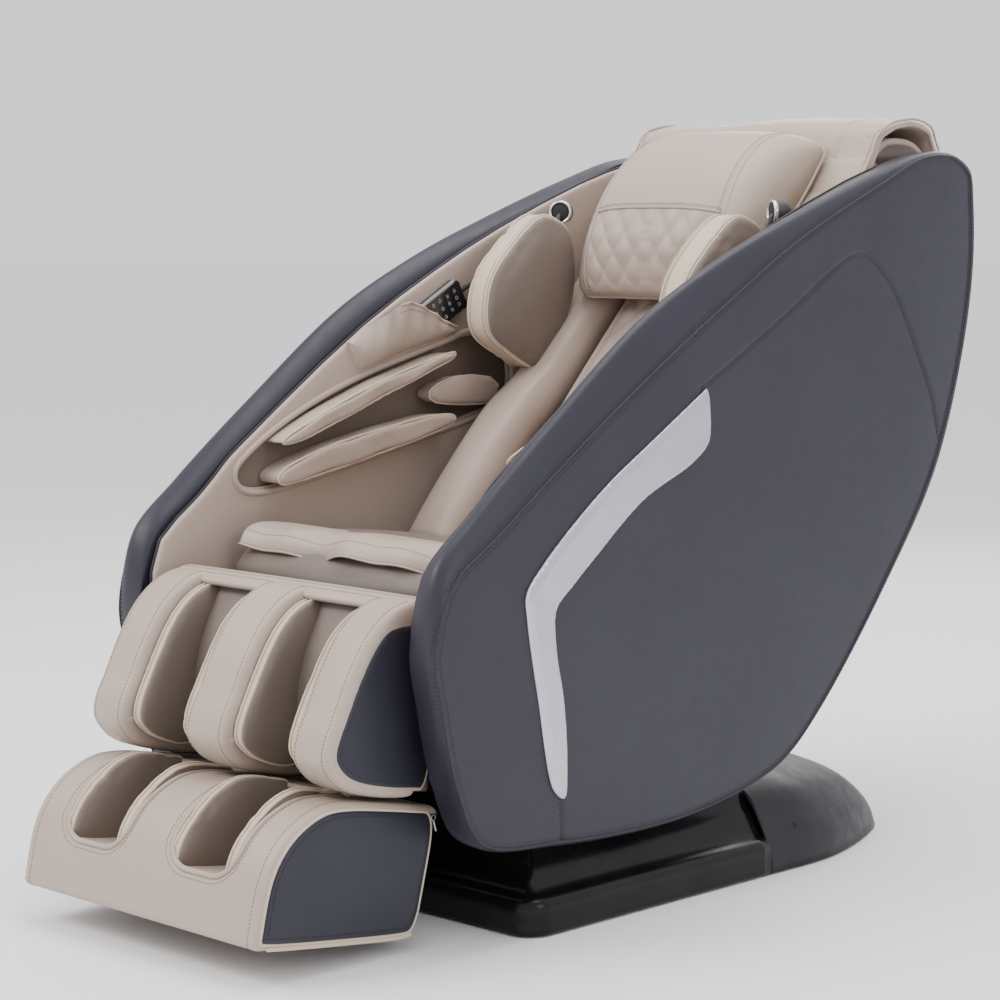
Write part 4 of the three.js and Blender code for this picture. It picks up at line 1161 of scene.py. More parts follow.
def make_pocket():
    """A single skin sewn to the wall on three sides, its mouth gathered on elastic."""
    keel = spline(millimetres(POCKET_KEEL), POCKET_COLUMNS)
    mouth = spline(millimetres(POCKET_MOUTH), POCKET_COLUMNS)
    verts = []
    for t in np.arange(POCKET_ROWS) / (POCKET_ROWS - 1):
        for c in range(POCKET_COLUMNS):
            v = c / (POCKET_COLUMNS - 1)
            a, b = keel[c] * (1 - t) + mouth[c] * t
            bulge = math.sin(math.pi * v) ** 0.45 * (1 - (1 - t) ** 4)
            pleat = 0.0035 * t ** 2 * math.sin(v * 46) * math.sin(math.pi * v) ** 0.5
            fold = 0.0016 * math.sin(v * 21 + t * 5) * math.sin(math.pi * t)
            tucked = 1 - t ** 2 * (1 - min(1.0, v / 0.42))
            depth = 0.002 + (0.037 * bulge + pleat + fold) * tucked
            verts.append((-(PANEL_IN - 0.0015 - depth), a, b))
    skin = array(verts).reshape(POCKET_ROWS, POCKET_COLUMNS, 3)
    pocket = piece("pocket_skin", (verts, ring_faces(POCKET_ROWS, POCKET_COLUMNS, False)), TAUPE,
                   "capsule", ["remote_pocket"])
    hem = piece("pocket_hem", tube(skin[-1][POCKET_OPEN:], 0.0024), TAUPE, "capsule")
    seam = piece("pocket_seam", tube(skin[0], 0.0016), TAUPE, "capsule")
    row = stitches(skin[-4][POCKET_OPEN:] + [0.0011, 0, 0])
    thread = piece("pocket_stitches", row, THREAD, "capsule")
    flat_size(skin)


# ------------------------------------------------------------------ seat
GUSSET_SLOPE = 0.3


def add_gusset(obj):
    """Gives the faces round the edge of a pad that stands on a side wall a cream material."""
    obj.data.materials.append(CREAM)
    for polygon in obj.data.polygons:
        if abs(polygon.normal.x) < GUSSET_SLOPE:
            polygon.material_index = 1


def make_pad(name, sweep, material, body, nodes=(), cap=0.0, voxel=0.012, welt=None):
    """A cushion from a sweep, inflated as cloth, with a welt round its face."""
    pad = piece(name, sweep.mesh(), material, body, nodes)
    if cap:
        billow(pad, cap, voxel)
    if welt:
        line = sweep.border(welt * 0.3, 0.0, 260)
        piece(f"{name}_welt", tube(line, welt, True), material, body)


SEAT_HALF = 0.279
SEAT_TOP = [[-489, 585], [-400, 583], [-300, 574], [-212, 552], [-198, 538]]
SEAT_NOSE = [[-566, 512], [-580, 524], [-582, 538], [-574, 551], [-557, 567], [-537, 579],
             [-512, 585], [-488, 584]]
CUSHION_HALF = 0.296
FLAP_HALF = 0.27
FLAP_PROFILE = [[-383, 588], [-430, 597], [-475, 604], [-515, 607], [-540, 604], [-557, 593],
                [-563, 574]]
FLAP_ROWS, FLAP_COLUMNS, FLAP_THICK = 34, 150, 0.003
# (y, z) of a thin dark strip just under the flap's edge: painted shadow of the edge on the seat's
# nose
UNDER_FLAP_LINE = [[-561, 570], [-559, 573], [-556, 576]]


def make_seat():
    def tufts(s, u):
        return groove(np.abs(np.abs(u) - 0.19), 0.004, 0.006)

    cushion = Sweep(millimetres(SEAT_TOP), -CUSHION_HALF, CUSHION_HALF, 0.082, 0.02, 0.008, 0.008,
                    tufts)
    make_pad("seat_cushion_cover", cushion, DARK, "capsule", nodes=["seat_cushion"], cap=0.008,
             voxel=0.014, welt=0.0022)
    nose = Sweep(millimetres(SEAT_NOSE), -SEAT_HALF, SEAT_HALF, 0.05, 0.012, 0.004, 0.006)
    make_pad("seat_nose_cover", nose, DARK, "capsule", nodes=["seat_bolster"], cap=0.006,
             voxel=0.012, welt=0.002)
    make_seat_flap()


def make_seat_flap():
    """A loose flap that folds forward over the front of the seat."""
    rows, columns = FLAP_ROWS, FLAP_COLUMNS
    path = spline(millimetres(FLAP_PROFILE), rows)
    out = normals(path)
    verts = []
    for layer in (0.0, FLAP_THICK):
        for r in range(rows):
            t = r / (rows - 1)
            for c in range(columns):
                u = -FLAP_HALF + 2 * FLAP_HALF * c / (columns - 1)
                wave = math.sin(u * 19 + 0.8) + 0.6 * math.sin(u * 43 + 2.0)
                lift = 0.0045 * t ** 2 * (wave + 1.3) + 0.0018 * math.sin(u * 24 + t * 6)
                y = path[r][0] + out[r][0] * (lift + layer) - 0.004 * t ** 3 * wave
                z = path[r][1] + out[r][1] * (lift + layer) + 0.0055 * t ** 3 * wave
                verts.append((u, y, z))
    count = rows * columns
    faces = ring_faces(rows, columns, False)
    faces += [tuple(i + count for i in f)[::-1] for f in faces]
    rim = grid_rim(rows, columns)
    faces += [(a, b, b + count, a + count) for a, b in zip(rim, rim[1:] + rim[:1])]
    flap = piece("seat_flap_cloth", (verts, faces), TAUPE, "capsule", ["seat_flap"])
    top = array(verts[count:]).reshape(rows, columns, 3)
    hem = piece("seat_flap_hem", tube(top[-1], 0.0022), TAUPE, "capsule")
    thread = piece("seat_flap_stitches", stitches(top[-5] + [0, 0, 0.0004]), THREAD, "capsule")
    flat_size(top)
    # a thin dark strip under the flap's wavy edge: painted shadow where the flap hangs over the nose
    strip = Sweep(millimetres(UNDER_FLAP_LINE), -0.16, 0.1, 0.002, 0.001, 0.0, 0.004)
    piece("under_flap_shadow", strip.mesh(), FLAP_SHADE, "capsule")


def flat_size(grid):
    """Width and height of a flat sheet with the area of a grid of points."""
    a, b, c, d = grid[:-1, :-1], grid[:-1, 1:], grid[1:, 1:], grid[1:, :-1]
    first = np.linalg.norm(np.cross(b - a, c - a), axis=2).sum()
    second = np.linalg.norm(np.cross(c - a, d - a), axis=2).sum()
    width = length_of(grid[len(grid) // 2])
    return (round(width, 4), round(float(0.5 * (first + second)) / width, 4))


# ------------------------------------------------------------------ back
BACK_PAD = [[-176, 549], [-70, 648], [45, 748], [150, 860], [280, 1000], [362, 1094], [444, 1186]]
BOLSTER = [[-203, 563], [-110, 668], [-10, 770], [110, 864], [250, 1010], [330, 1108],
           [416, 1194]]
HEAD_PANEL = [[318, 1070], [375, 1142], [425, 1206], [462, 1256]]
TOP_FLAP = [[346, 1106], [398, 1168], [438, 1218], [462, 1256], [482, 1292], [514, 1312],
            [560, 1319], [606, 1316], [640, 1299], [655, 1268], [656, 1228], [653, 1192]]
FLAP_LINING = [[476, 1262], [506, 1281], [552, 1286], [598, 1279], [630, 1258], [640, 1232]]
TOP_HALF = 0.296
PILLOW_FRONT = [[200, 990], [178, 998], [164, 1020], [162, 1060], [174, 1120], [218, 1202],
                [278, 1260], [343, 1290], [400, 1296], [430, 1292], [444, 1276]]
PILLOW_REAR = [[200, 990], [222, 1010], [260, 1048], [300, 1090], [346, 1141], [392, 1192],
               [424, 1233], [440, 1255], [446, 1266], [447, 1271], [444, 1276]]
BACK_HALF, QUILT_HALF, BACK_SEAM = 0.149, 0.128, 0.129      # |x| of the centre pad, quilting, seam
BOLSTER_X = (0.152, 0.263)
PILLOW_HALF = 0.2
PILLOW_SPLIT = 0.19     # where its two panels meet, as a distance up its front
PILLOW_ROUND = 3.2      # how square its section is
PILLOW_STEPS = 300


def make_back():
    def quilted(s, u):
        share = np.clip((QUILT_HALF - np.abs(u)) / 0.012, 0, 1)
        return quilt(s, u, 0.0055) * share + groove(np.abs(u) - BACK_SEAM, 0.003, 0.003)

    pad = Sweep(millimetres(BACK_PAD), -BACK_HALF, BACK_HALF, 0.055, 0.013, 0.007, 0.0042,
                quilted)
    make_pad("back_centre", pad, TAUPE, "backrest", nodes=["back_pad"], cap=0.004)
    rows = [pad.stitched(u, 0.02, 300) for u in (-0.125, 0.125)]
    piece("back_stitches", joined(rows), THREAD, "backrest")
    for side, tag in SIDES:
        def folds(s, u, side=side):
            waves = 0.0012 * np.sin(s * 42 + u * 30 * side) * np.exp(-((s - 0.42) / 0.2) ** 2)
            return waves + groove(np.abs(u - side * 0.034), 0.0015, 0.0022)

        bolster = Sweep(millimetres(BOLSTER), side * BOLSTER_X[0], side * BOLSTER_X[1], 0.07,
                        0.024, 0.012, 0.0055, folds)
        make_pad(f"back_bolster_cover_{tag}", bolster, TAUPE, "backrest",
                 nodes=[f"back_bolster_{tag}"], cap=0.006)
        row = bolster.stitched(side * 0.0385, 0.03, 260)
        piece(f"back_bolster_stitches_{tag}", row, THREAD, "backrest")
        make_wing(side, tag)
        make_speaker(side, tag)
    head = Sweep(millimetres(HEAD_PANEL), -0.286, 0.286, 0.03, 0.012, 0.004, 0.007)
    make_pad("head_panel", head, TAUPE, "backrest", cap=0.004, voxel=0.014)
    make_top_flap()
    make_pillow()
    make_back_cover()


def make_wing(side, tag):
    """A shoulder air pad: dark faces, a cream gusset round the edge, a welt on each side."""
    node = f"shoulder_wing_{tag}"
    outline = grown(cad_outline(node, 0.235, 220, 3), 0.001)
    x_in, x_out = x_span(node)
    middle, half = (x_in + x_out) / 2, (x_out - x_in) / 2 - 0.012
    mesh = pad_mesh(outline, on_side(side, middle), half, 0.011, 0.008, 0.05, 0.007, waist=-0.002)
    pad = piece(f"wing_{tag}", mesh, DARK, "backrest", [node])
    add_gusset(pad)
    billow(pad, 0.006, 0.01)
    welts = [tube(at_x(grown(outline, 0.0006), side * x), 0.0026, True)
             for x in (middle - half, middle + half)]
    piece(f"wing_welts_{tag}", joined(welts), CREAM, "backrest")
    rows = [stitches(at_x(grown(outline, 0.0012), side * (middle + gap)), radius=0.0005, closed=True)
            for gap in (-half + 0.006, half - 0.006)]
    piece(f"wing_stitches_{tag}", joined(rows), THREAD, "backrest", slot="cream_gusset")


SPEAKER = (0.274, 0.240, 1.150)
SPEAKER_TURN = 2.62
SPEAKER_SIDES = 40
# (radius, height) of the turned parts
SPEAKER_POD = [(0.0004, 0), (0.014, 0.0005), (0.019, 0.006), (0.0215, 0.014), (0.0215, 0.029)]
SPEAKER_BEZEL = [(0.0215, 0.028), (0.0223, 0.031), (0.0218, 0.034), (0.02, 0.0352),
                 (0.018, 0.0345), (0.0168, 0.0325), (0.0166, 0.03)]
SPEAKER_GRILLE = [(0.0168, 0.0305)] + [(0.0166 * math.cos(t), 0.0305 + 0.004 * math.sin(t))
                                       for t in np.linspace(0.1, math.pi / 2 - 0.02, 8)]


def make_speaker(side, tag):
    """A round speaker on a bracket: a satin pod, a chrome bezel and a domed cloth grille."""
    x, y, z = SPEAKER
    cos, sin = math.cos(SPEAKER_TURN), math.sin(SPEAKER_TURN)

    def place(a, b, c):
        return (side * (x + a * cos - b * sin), y + a * sin + b * cos, z + c)

    def lathe(profile):
        verts = [place(r * math.cos(t), h, r * math.sin(t)) for r, h in profile
                 for t in around(SPEAKER_SIDES)]
        return verts, ring_faces(len(profile), SPEAKER_SIDES)

    wing = f"shoulder_wing_{tag}"
    stem_x, stem_y = x_span(wing)[1] - 0.01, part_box(wing)[1][1] + 0.0065
    stem = [(stem_x, stem_y, z - 0.098), (stem_x, stem_y, z - 0.06), (stem_x, stem_y, z - 0.022),
            (stem_x + 0.003, stem_y + 0.01, z - 0.006), (x, y - 0.004, z - 0.001)]
    bracket = tube(mirror_line(spline(stem, 30), side), 0.0055, False, 12)
    piece(f"speaker_pod_{tag}", joined([lathe(SPEAKER_POD), bracket]), SATIN, "backrest")
    piece(f"speaker_bezel_{tag}", lathe(SPEAKER_BEZEL), CHROME, "backrest", [f"speaker_{tag}"])
    piece(f"speaker_grille_{tag}", lathe(SPEAKER_GRILLE), MESH_CLOTH, "backrest")


def make_top_flap():
    """The padded flap that covers the head of the back and falls behind it."""
    def sag(s, u):
        waves = 0.003 * np.sin(u * 13 + 0.6) * np.clip((s - 0.15) / 0.1, 0, 1)
        side = np.abs(np.abs(u) - 0.205)
        return waves + 0.0012 * np.sin(s * 60) + groove(side, 0.004, 0.004)

    flap = Sweep(millimetres(TOP_FLAP), -TOP_HALF, TOP_HALF, 0.012, 0.007, 0.002, 0.005, sag)
    make_pad("top_flap_cover", flap, TAUPE, "backrest", nodes=["top_flap"], cap=0.005,
             voxel=0.009)
    s = np.linspace(0.004, flap.length - 0.004, 260)
    edges = []
    for sign in (-1, 1):
        for gap, height in ((0.001, 0.003), (0.0005, -0.009)):
            u = sign * (TOP_HALF - gap)
            edges.append(tube(flap.at(s, u, height - flap.rise(s, u)), 0.0024))
    piece("top_flap_piping", joined(edges), TAUPE, "backrest")
    inner = Sweep(millimetres(FLAP_LINING), -0.284, 0.284, 0.012, 0.006, 0.002, 0.008)
    make_pad("top_flap_lining", inner, TAUPE, "backrest")
    row = stitches(flap.border(0.012, 0.0004, 300), closed=True)
    piece("top_flap_stitches", row, THREAD, "backrest")


class PillowShape:
    """The head pillow: a front that wraps round to a piped edge lying on the back."""

    def __init__(self):
        self.front = spline(millimetres(PILLOW_FRONT), PILLOW_STEPS)
        rear = spline(millimetres(PILLOW_REAR), PILLOW_STEPS, even=False)
        self.rear = resample(rear, PILLOW_STEPS)
        self.length = length_of(self.front)

    def half(self, s):
        half = np.full(np.shape(s), PILLOW_HALF)
        for radius, gap in ((0.045, s), (0.04, self.length - s)):
            inner = np.clip(radius - gap, 0, radius)
            half = half - (radius - np.sqrt(radius ** 2 - inner ** 2)) * 0.8
        return half

    def seam(self, s):
        return 0.158 - 0.022 * np.clip((s - 0.1) / 0.3, 0, 1)

    def relief(self, s, u):
        edge = self.seam(s)
        inner = np.clip((edge - np.abs(u)) / 0.012, 0, 1)
        lower = np.clip((PILLOW_SPLIT - s) / 0.01, 0, 1) * np.clip((s - 0.03) / 0.02, 0, 1)
        puffed = quilt(s, u, 0.0068, (0.052, 0.07)) * inner * lower
        sides = groove(np.abs(u) - edge, 0.0034, 0.003)
        across = groove(s - PILLOW_SPLIT, 0.004, 0.0035) * np.where(np.abs(u) < edge, 1.0, 0.0)
        swell = 0.006 * np.sin(np.clip(s / self.length, 0, 1) * math.pi)
        return puffed + sides + across + swell

    def at(self, s, u, lift=0.0):
        """World points on the front, at a distance up it and u from its middle."""
        s, u = np.broadcast_arrays(array(s), array(u))
        index = np.clip(s / self.length, 0, 1) * (PILLOW_STEPS - 1)
        front, rear = at_index(self.front, index), at_index(self.rear, index)
        share = np.clip(1 - np.abs(u / self.half(s)) ** PILLOW_ROUND, 0, 1) ** (1 / PILLOW_ROUND)
        gap = front - rear
        thick = np.linalg.norm(gap, axis=-1)
        out = gap / np.maximum(thick, 1e-6)[..., None]
        height = thick * share + (self.relief(s, u) * share + lift) * np.clip(thick / 0.03, 0, 1)
        place = rear + out * height[..., None]
        return np.concatenate([u[..., None], place], -1)

    def mesh(self):
        s = graded(self.length, 0.03, 0.0042)
        turn = np.linspace(0, math.pi, 121)
        across = -np.sign(np.cos(turn)) * np.abs(np.cos(turn)) ** (2 / PILLOW_ROUND)
        even = resample(across[:, None] * PILLOW_HALF, 121)[:, 0] / PILLOW_HALF
        across = even * 0.5 + across * 0.5
        grid_s, grid_v = np.meshgrid(s, across, indexing="ij")
        front = self.at(grid_s, grid_v * self.half(grid_s))
        grid_s, grid_v = np.meshgrid(s, np.linspace(0.97, -0.97, 14), indexing="ij")
        rear = at_index(self.rear, grid_s / self.length * (PILLOW_STEPS - 1))
        back = np.concatenate([(grid_v * self.half(grid_s))[..., None], rear], -1)
        rings = np.concatenate([front, back], axis=1)
        rows, columns = rings.shape[:2]
        verts = rings.reshape(-1, 3)
        faces = ring_faces(rows, columns)
        faces += [tuple(range(start, start + columns)) for start in (0, (rows - 1) * columns)]
        return verts, faces

    def border(self):
        """The piped line round the pillow where its front meets its back."""
        s = np.linspace(0.0, self.length, 150)
        right = self.at(s, self.half(s))
        left = self.at(s[::-1], -self.half(s[::-1]))
        return resample(np.vstack([right, left]), 320, True)


def make_pillow():
    """A smooth upper panel over a quilted one, between two plain sides."""
    shape = PillowShape()
    pillow = piece("pillow_cover", shape.mesh(), TAUPE, "pillow", ["head_pillow"])
    billow(pillow, 0.0035, 0.012)
    piece("pillow_welt", tube(shape.border(), 0.0032, True, 10), TAUPE, "pillow")
    s = np.linspace(0.03, shape.length - 0.04, 260)
    rows = [stitches(shape.at(s, sign * (shape.seam(s) + gap), 0.0003))
            for sign in (-1, 1) for gap in (-0.006, 0.006)]
    edge = float(shape.seam(PILLOW_SPLIT))
    u = np.linspace(-edge + 0.004, edge - 0.004, 160)
    rows.append(stitches(shape.at(PILLOW_SPLIT + 0.007, u, 0.0003)))
    piece("pillow_stitches", joined(rows), THREAD, "pillow")
    roll = shape.at(PILLOW_SPLIT, u, 0.0022)
    piece("pillow_cross_welt", tube(roll, 0.0024), TAUPE, "pillow")


COVER_SEAM = 0.16       # |x| of the back cover's long seams
COVER_ZIP = 0.28        # the zip's distance up the cover


def make_back_cover():
    """The cover behind the back, between the shells, with two seams and a zip."""
    line = shell_outline(0.0, 0.04)
    behind = line[:, 0] > 0.18 + (line[:, 1] - 0.35) * 0.35
    line = line[behind & (line[:, 1] > 0.352) & (line[:, 1] < 1.178)]
    line = line[np.argsort(line[:, 1])]

    def seams(s, u):
        return groove(np.abs(u) - COVER_SEAM, 0.0025, 0.003) + groove(s - COVER_ZIP, 0.003, 0.004)

    cover = Sweep(line, -0.295, 0.295, 0.009, 0.005, 0.004, 0.009, seams, flip=True)
    make_pad("back_cover_cloth", cover, SLATE, "backrest", nodes=["back_cover"], cap=0.004,
             voxel=0.014)
    rows = [cover.stitched(sign * COVER_SEAM + gap, 0.02, 260)
            for sign in (-1, 1) for gap in (-0.0055, 0.0055)]
    piece("back_cover_stitches", joined(rows), SHELL_THREAD, "backrest")
    teeth = []
    for value in np.linspace(-0.15, 0.15, 110):
        line = [cover.at(COVER_ZIP + gap, value, 0.0012) for gap in (-0.002, -0.0007, 0.0007, 0.002)]
        teeth.append(tube(line, 0.0008, False, 5))
    piece("back_cover_zip", joined(teeth), SATIN, "backrest")


# ------------------------------------------------------------------ leg unit
LEG_HALF = 0.294
CALF_FACE = [[-700, 246], [-728, 249], [-790, 262], [-838, 278], [-865, 300], [-878, 324],
             [-874, 351], [-855, 389], [-825, 448], [-794, 494], [-766, 521], [-738, 538],
             [-712, 546], [-686, 549]]
CALF_WALL = [[-738, 262], [-746, 290], [-752, 340], [-750, 390], [-734, 450], [-708, 500],
             [-690, 526], [-676, 540], [-656, 546]]
CALF_CHEEK = [[-772, 270], [-808, 282], [-842, 300], [-864, 324], [-862, 350], [-846, 386],
              [-817, 441], [-788, 485], [-761, 511], [-736, 526], [-712, 533], [-680, 534],
              [-672, 500], [-702, 440], [-716, 380], [-716, 320], [-712, 276]]
CALF_CORE = [[-660, 244], [-728, 254], [-738, 262], [-744, 300], [-750, 350], [-746, 392],
             [-730, 446], [-704, 494], [-688, 516], [-662, 532]]
CALF_BRIDGE = [[-716, 538], [-704, 547], [-688, 553], [-670, 553], [-658, 549], [-652, 542]]
CHANNEL_X = (0.050, 0.208)
WELL_X = (0.054, 0.214)
WELL_ROUND = 0.05
WELL_FLOOR_Z, WELL_REAR_Y = 0.150, -0.772
CHEEK = 0.024
FOOT_FACE = [[-938, 46], [-1000, 56], [-1020, 60], [-1026, 68], [-1024, 80], [-1007, 150],
             [-986, 192], [-954, 225], [-915, 246], [-879, 256], [-832, 255], [-769, 244],
             [-712, 233], [-650, 221]]
SOLE = [[-1000, 146], [-960, 139], [-900, 131], [-836, 129], [-796, 134], [-776, 150],
        [-768, 184], [-766, 228]]
FOOT_CHEEK = [[-764, 112], [-840, 108], [-910, 110], [-962, 122], [-990, 140], [-996, 160],
              [-980, 196], [-948, 230], [-911, 254], [-874, 266], [-836, 263], [-800, 253],
              [-764, 244]]
FOOT_HEM = [[-1002, 60], [-938, 51], [-830, 37], [-733, 26], [-710, 27]]
FOOT_CORE = [[-706, 27], [-733, 25], [-938, 50], [-1012, 64], [-1008, 92], [-990, 118],
             [-900, 98], [-770, 98], [-757, 130], [-756, 226], [-654, 214], [-690, 60]]


def make_calf():
    bands = {"centre": (-CHANNEL_X[0], CHANNEL_X[0]), "left": (CHANNEL_X[1], LEG_HALF),
             "right": (-LEG_HALF, -CHANNEL_X[1])}
    rows = []
    for tag, (x0, x1) in bands.items():
        band = Sweep(millimetres(CALF_FACE), x0, x1, 0.06, 0.011, 0.003, 0.006)
        nodes = ["calf_pad"] if tag == "centre" else ()
        make_pad(f"calf_band_{tag}", band, TAUPE, "legrest", nodes=nodes, cap=0.003)
        rows += [band.stitched(u, 0.02, 220, 0.0004)
                 for u in (0.013 - band.half, band.half - 0.013)]
    piece("calf_band_stitches", joined(rows), THREAD, "legrest")
    cheek = anticlockwise(smooth(millimetres(CALF_CHEEK), 220, True, 2))
    for side, tag in SIDES:
        wall = Sweep(millimetres(CALF_WALL), side * CHANNEL_X[0], side * CHANNEL_X[1], 0.02,
                     0.008, 0.006, 0.008)
        make_pad(f"calf_channel_wall_{tag}", wall, DARK, "legrest")
        make_cheeks("calf", tag, cheek, CHANNEL_X, side, "legrest", 0.005)
        panel = grown(cad_outline(f"calf_side_{tag}", 0.28, 200, 3), -0.011)
        make_side_panel(f"calf_side_panel_{tag}", panel, side, "legrest", [f"calf_side_{tag}"])
    core = resample(millimetres(CALF_CORE), 120, True)
    mesh = pad_mesh(core, sideways, 0.278, 0.006, 0.0, spacing=0.03)
    piece("calf_rear_body", mesh, DARK, "legrest")
    bridge = Sweep(millimetres(CALF_BRIDGE), -0.29, 0.29, 0.008, 0.004, 0.001, 0.005)
    make_pad("calf_bridge_strip", bridge, TAUPE, "legrest")
    u = np.linspace(-0.28, 0.28, 260)
    lines = [stitches(bridge.at(s, u, 0.0004)) for s in (0.02, 0.032)]
    piece("calf_bridge_stitches", joined(lines), THREAD, "legrest")


def sideways(a, b, h):
    """A place function for bodies whose thickness runs across the chair."""
    return (h, a, b)


def make_cheeks(unit, tag, outline, walls, side, body, crown):
    """Air pads on both walls of a channel, facing each other, with a cream gusset round each."""
    for word, x, facing in (("inner", walls[0], side), ("outer", walls[1], -side)):
        name = f"{unit}_cheek_{word}_{tag}"
        middle = side * x + facing * CHEEK / 2
        half = CHEEK / 2 - 0.005
        mesh = pad_mesh(outline, lambda a, b, h: (middle + facing * h, a, b), half, 0.005, crown,
                        0.03, 0.006, back=flat_back)
        cheek = piece(name, mesh, DARK, body)
        add_gusset(cheek)
        billow(cheek, 0.004, 0.008)
        welts = [tube(at_x(grown(outline, 0.0005), middle + facing * gap), 0.0023, True)
                 for gap in (-half * 0.75, half)]
        piece(f"{name}_welts", joined(welts), CREAM, body)


def make_side_panel(name, outline, side, body, nodes):
    """A crowned panel let into a side of the leg unit, with a welt and a stitched edge."""
    mesh = pad_mesh(outline, lambda a, b, h: (side * (LEG_HALF - 0.005 + h), a, b), 0.002, 0.006,
                    0.002, 0.03, 0.01, back=flat_back)
    panel = piece(name, mesh, SLATE, body, nodes)
    welt = at_x(grown(outline, 0.0012), side * (LEG_HALF - 0.0015))
    piece(f"{name}_welt", tube(welt, 0.0026, True), CREAM, body)
    row = grown(outline, -0.0085)
    row = row[inside(row, outline) & (distance_to(row, outline) > 0.0078)]
    row = at_x(row, side * (LEG_HALF + 0.0038))
    piece(f"{name}_stitches", stitches(row, closed=True), SHELL_THREAD, body)


def well_loop(x0, x1, low, high):
    """A U in the foot unit's face, in (x, distance along the profile)."""
    points = []
    for x, start, ends in ((x1 - WELL_ROUND, 270, ((x1, high), (x0, high))),
                           (x0 + WELL_ROUND, 180, ())):
        for angle in np.radians(np.linspace(start, start + 90, 14)):
            points.append((x + WELL_ROUND * math.cos(angle),
                           low + WELL_ROUND + WELL_ROUND * math.sin(angle)))
        points += ends
    return anticlockwise(resample(points, 120, True))


def make_foot():
    face = Sweep(millimetres(FOOT_FACE), -LEG_HALF, LEG_HALF, 0.02, 0.012, 0.0, 0.01)

    def on_face(x, s, h):
        return (x, *face.on_path(s, h))

    along = travelled(face.path)
    rising = face.path[:, 0] < -0.98
    low = float(np.interp(WELL_FLOOR_Z, face.path[rising][:, 1], along[rising]))
    high = float(along[np.argmax(face.path[:, 0] > WELL_REAR_Y)])
    holes = [well_loop(*sorted((side * WELL_X[0], side * WELL_X[1])), low, high)
             for side, _ in SIDES]
    sheet = resample(array([(-LEG_HALF, 0), (LEG_HALF, 0), (LEG_HALF, face.length),
                            (-LEG_HALF, face.length)]), 700, True)

    def seam(flat, depth):
        rise = 0 * depth
        for side, _ in SIDES:
            gap = flat[:, 0] - side * (WELL_X[0] + WELL_X[1]) / 2
            rise = rise + groove(gap, 0.0012, 0.002) * (flat[:, 1] < low)
        return rise

    mesh = pad_mesh(sheet, on_face, 0.0, 0.012, 0.0, spacing=0.009, holes=holes,
                    detail=lambda f, d: seam(f, d) - 0.012,
                    back=lambda flat, depth: 0.014 + 0 * depth)
    body = piece("foot_cover", mesh, TAUPE, "footrest", ["foot_pad"])
    beads = [tube([on_face(x, s, -0.004) for x, s in grown(hole, -0.001)], 0.0046, True, 10)
             for hole in holes]
    piece("foot_well_beads", joined(beads), TAUPE, "footrest")
    rows = [stitches([on_face(x, s, 0.0003) for x, s in grown(hole, 0.011)], closed=True)
            for hole in holes]
    for value in (-LEG_HALF + 0.02, LEG_HALF - 0.02):
        rows.append(stitches([on_face(value, s, 0.0003)
                              for s in np.linspace(0.05, face.length - 0.01, 240)]))
    piece("foot_stitches", joined(rows), THREAD, "footrest")
    for side, tag in SIDES:
        make_foot_well(side, tag)
        panel = grown(cad_outline(f"foot_side_{tag}", 0.28, 220, 3), -0.009)
        make_side_panel(f"foot_side_panel_{tag}", panel, side, "footrest", [f"foot_side_{tag}"])
        hem = spline(millimetres(FOOT_HEM), 90)
        piece(f"foot_hem_{tag}", tube(at_x(hem, side * (LEG_HALF - 0.0015)), 0.0038, False, 10),
              CREAM, "footrest")
        make_zip_pull(side, tag)
    core = resample(millimetres(FOOT_CORE), 160, True)
    mesh = pad_mesh(core, sideways, 0.282, 0.004, 0.0, spacing=0.03)
    piece("foot_core", mesh, DARK, "footrest")


def make_zip_pull(side, tag):
    """The puller of the zip that closes the foot unit's side, hanging from its slider."""
    top = array((side * (LEG_HALF + 0.002), -0.662, 0.205))
    ring = [top + (0, 0.0042 * math.cos(t), 0.0042 * math.sin(t))
            for t in around(20)]
    tab = [top + (0, 0.001 * k, -0.004 - 0.0035 * k) for k in range(6)]
    parts = [tube(ring, 0.0009, True, 6), tube(tab, 0.0018)]
    piece(f"foot_zip_pull_{tag}", joined(parts), ZINC, "footrest")


def make_foot_well(side, tag):
    """The inside of a foot well: a tub-like sole with a cheek on each side."""
    def tub(s, u):
        half = (WELL_X[1] - WELL_X[0]) / 2
        return 0.03 * np.clip(np.abs(u) / half, 0, 1) ** 5

    sole = Sweep(millimetres(SOLE), side * WELL_X[0], side * WELL_X[1], 0.012, 0.003, 0.002,
                 0.007, tub)
    make_pad(f"foot_sole_{tag}", sole, TAUPE, "footrest")
    outline = anticlockwise(smooth(millimetres(FOOT_CHEEK), 180, True, 3))
    make_cheeks("foot", tag, outline, WELL_X, side, "footrest", 0.006)


# ------------------------------------------------------------------ base
BASE_HALF = 0.392
BASE_FRONT = -0.540
BASE_SPLIT = 0.062
SKIRT_SECTION = [
    (0, 3), (0, 24), (0, 46), (3, 55), (10, 61.5), (20, 66), (29, 74), (37, 88), (46, 103),
    (56, 116), (63, 130), (65.5, 145), (66, 157), (68.5, 160), (71, 157), (70.5, 145),
    (68, 130), (61, 113), (51, 99), (41, 86), (35, 73), (26, 61), (13, 56), (6, 47), (5, 26),
    (5, 3),
]
SKIRT_ROUND = 0.045
SKIRT_ROUND_MIN = 0.008
REAR_PLAN = [[392, 62], [392, 195], [383, 262], [358, 350], [322, 440], [285, 505], [235, 545],
             [170, 558], [90, 563], [0, 564]]
REAR_LEVELS = [(1, 1, 3), (0.99, 0.965, 40), (0.935, 0.86, 90), (0.85, 0.68, 134),
               (0.67, 0.47, 166), (0.4, 0.26, 184), (0.06, 0.05, 190)]


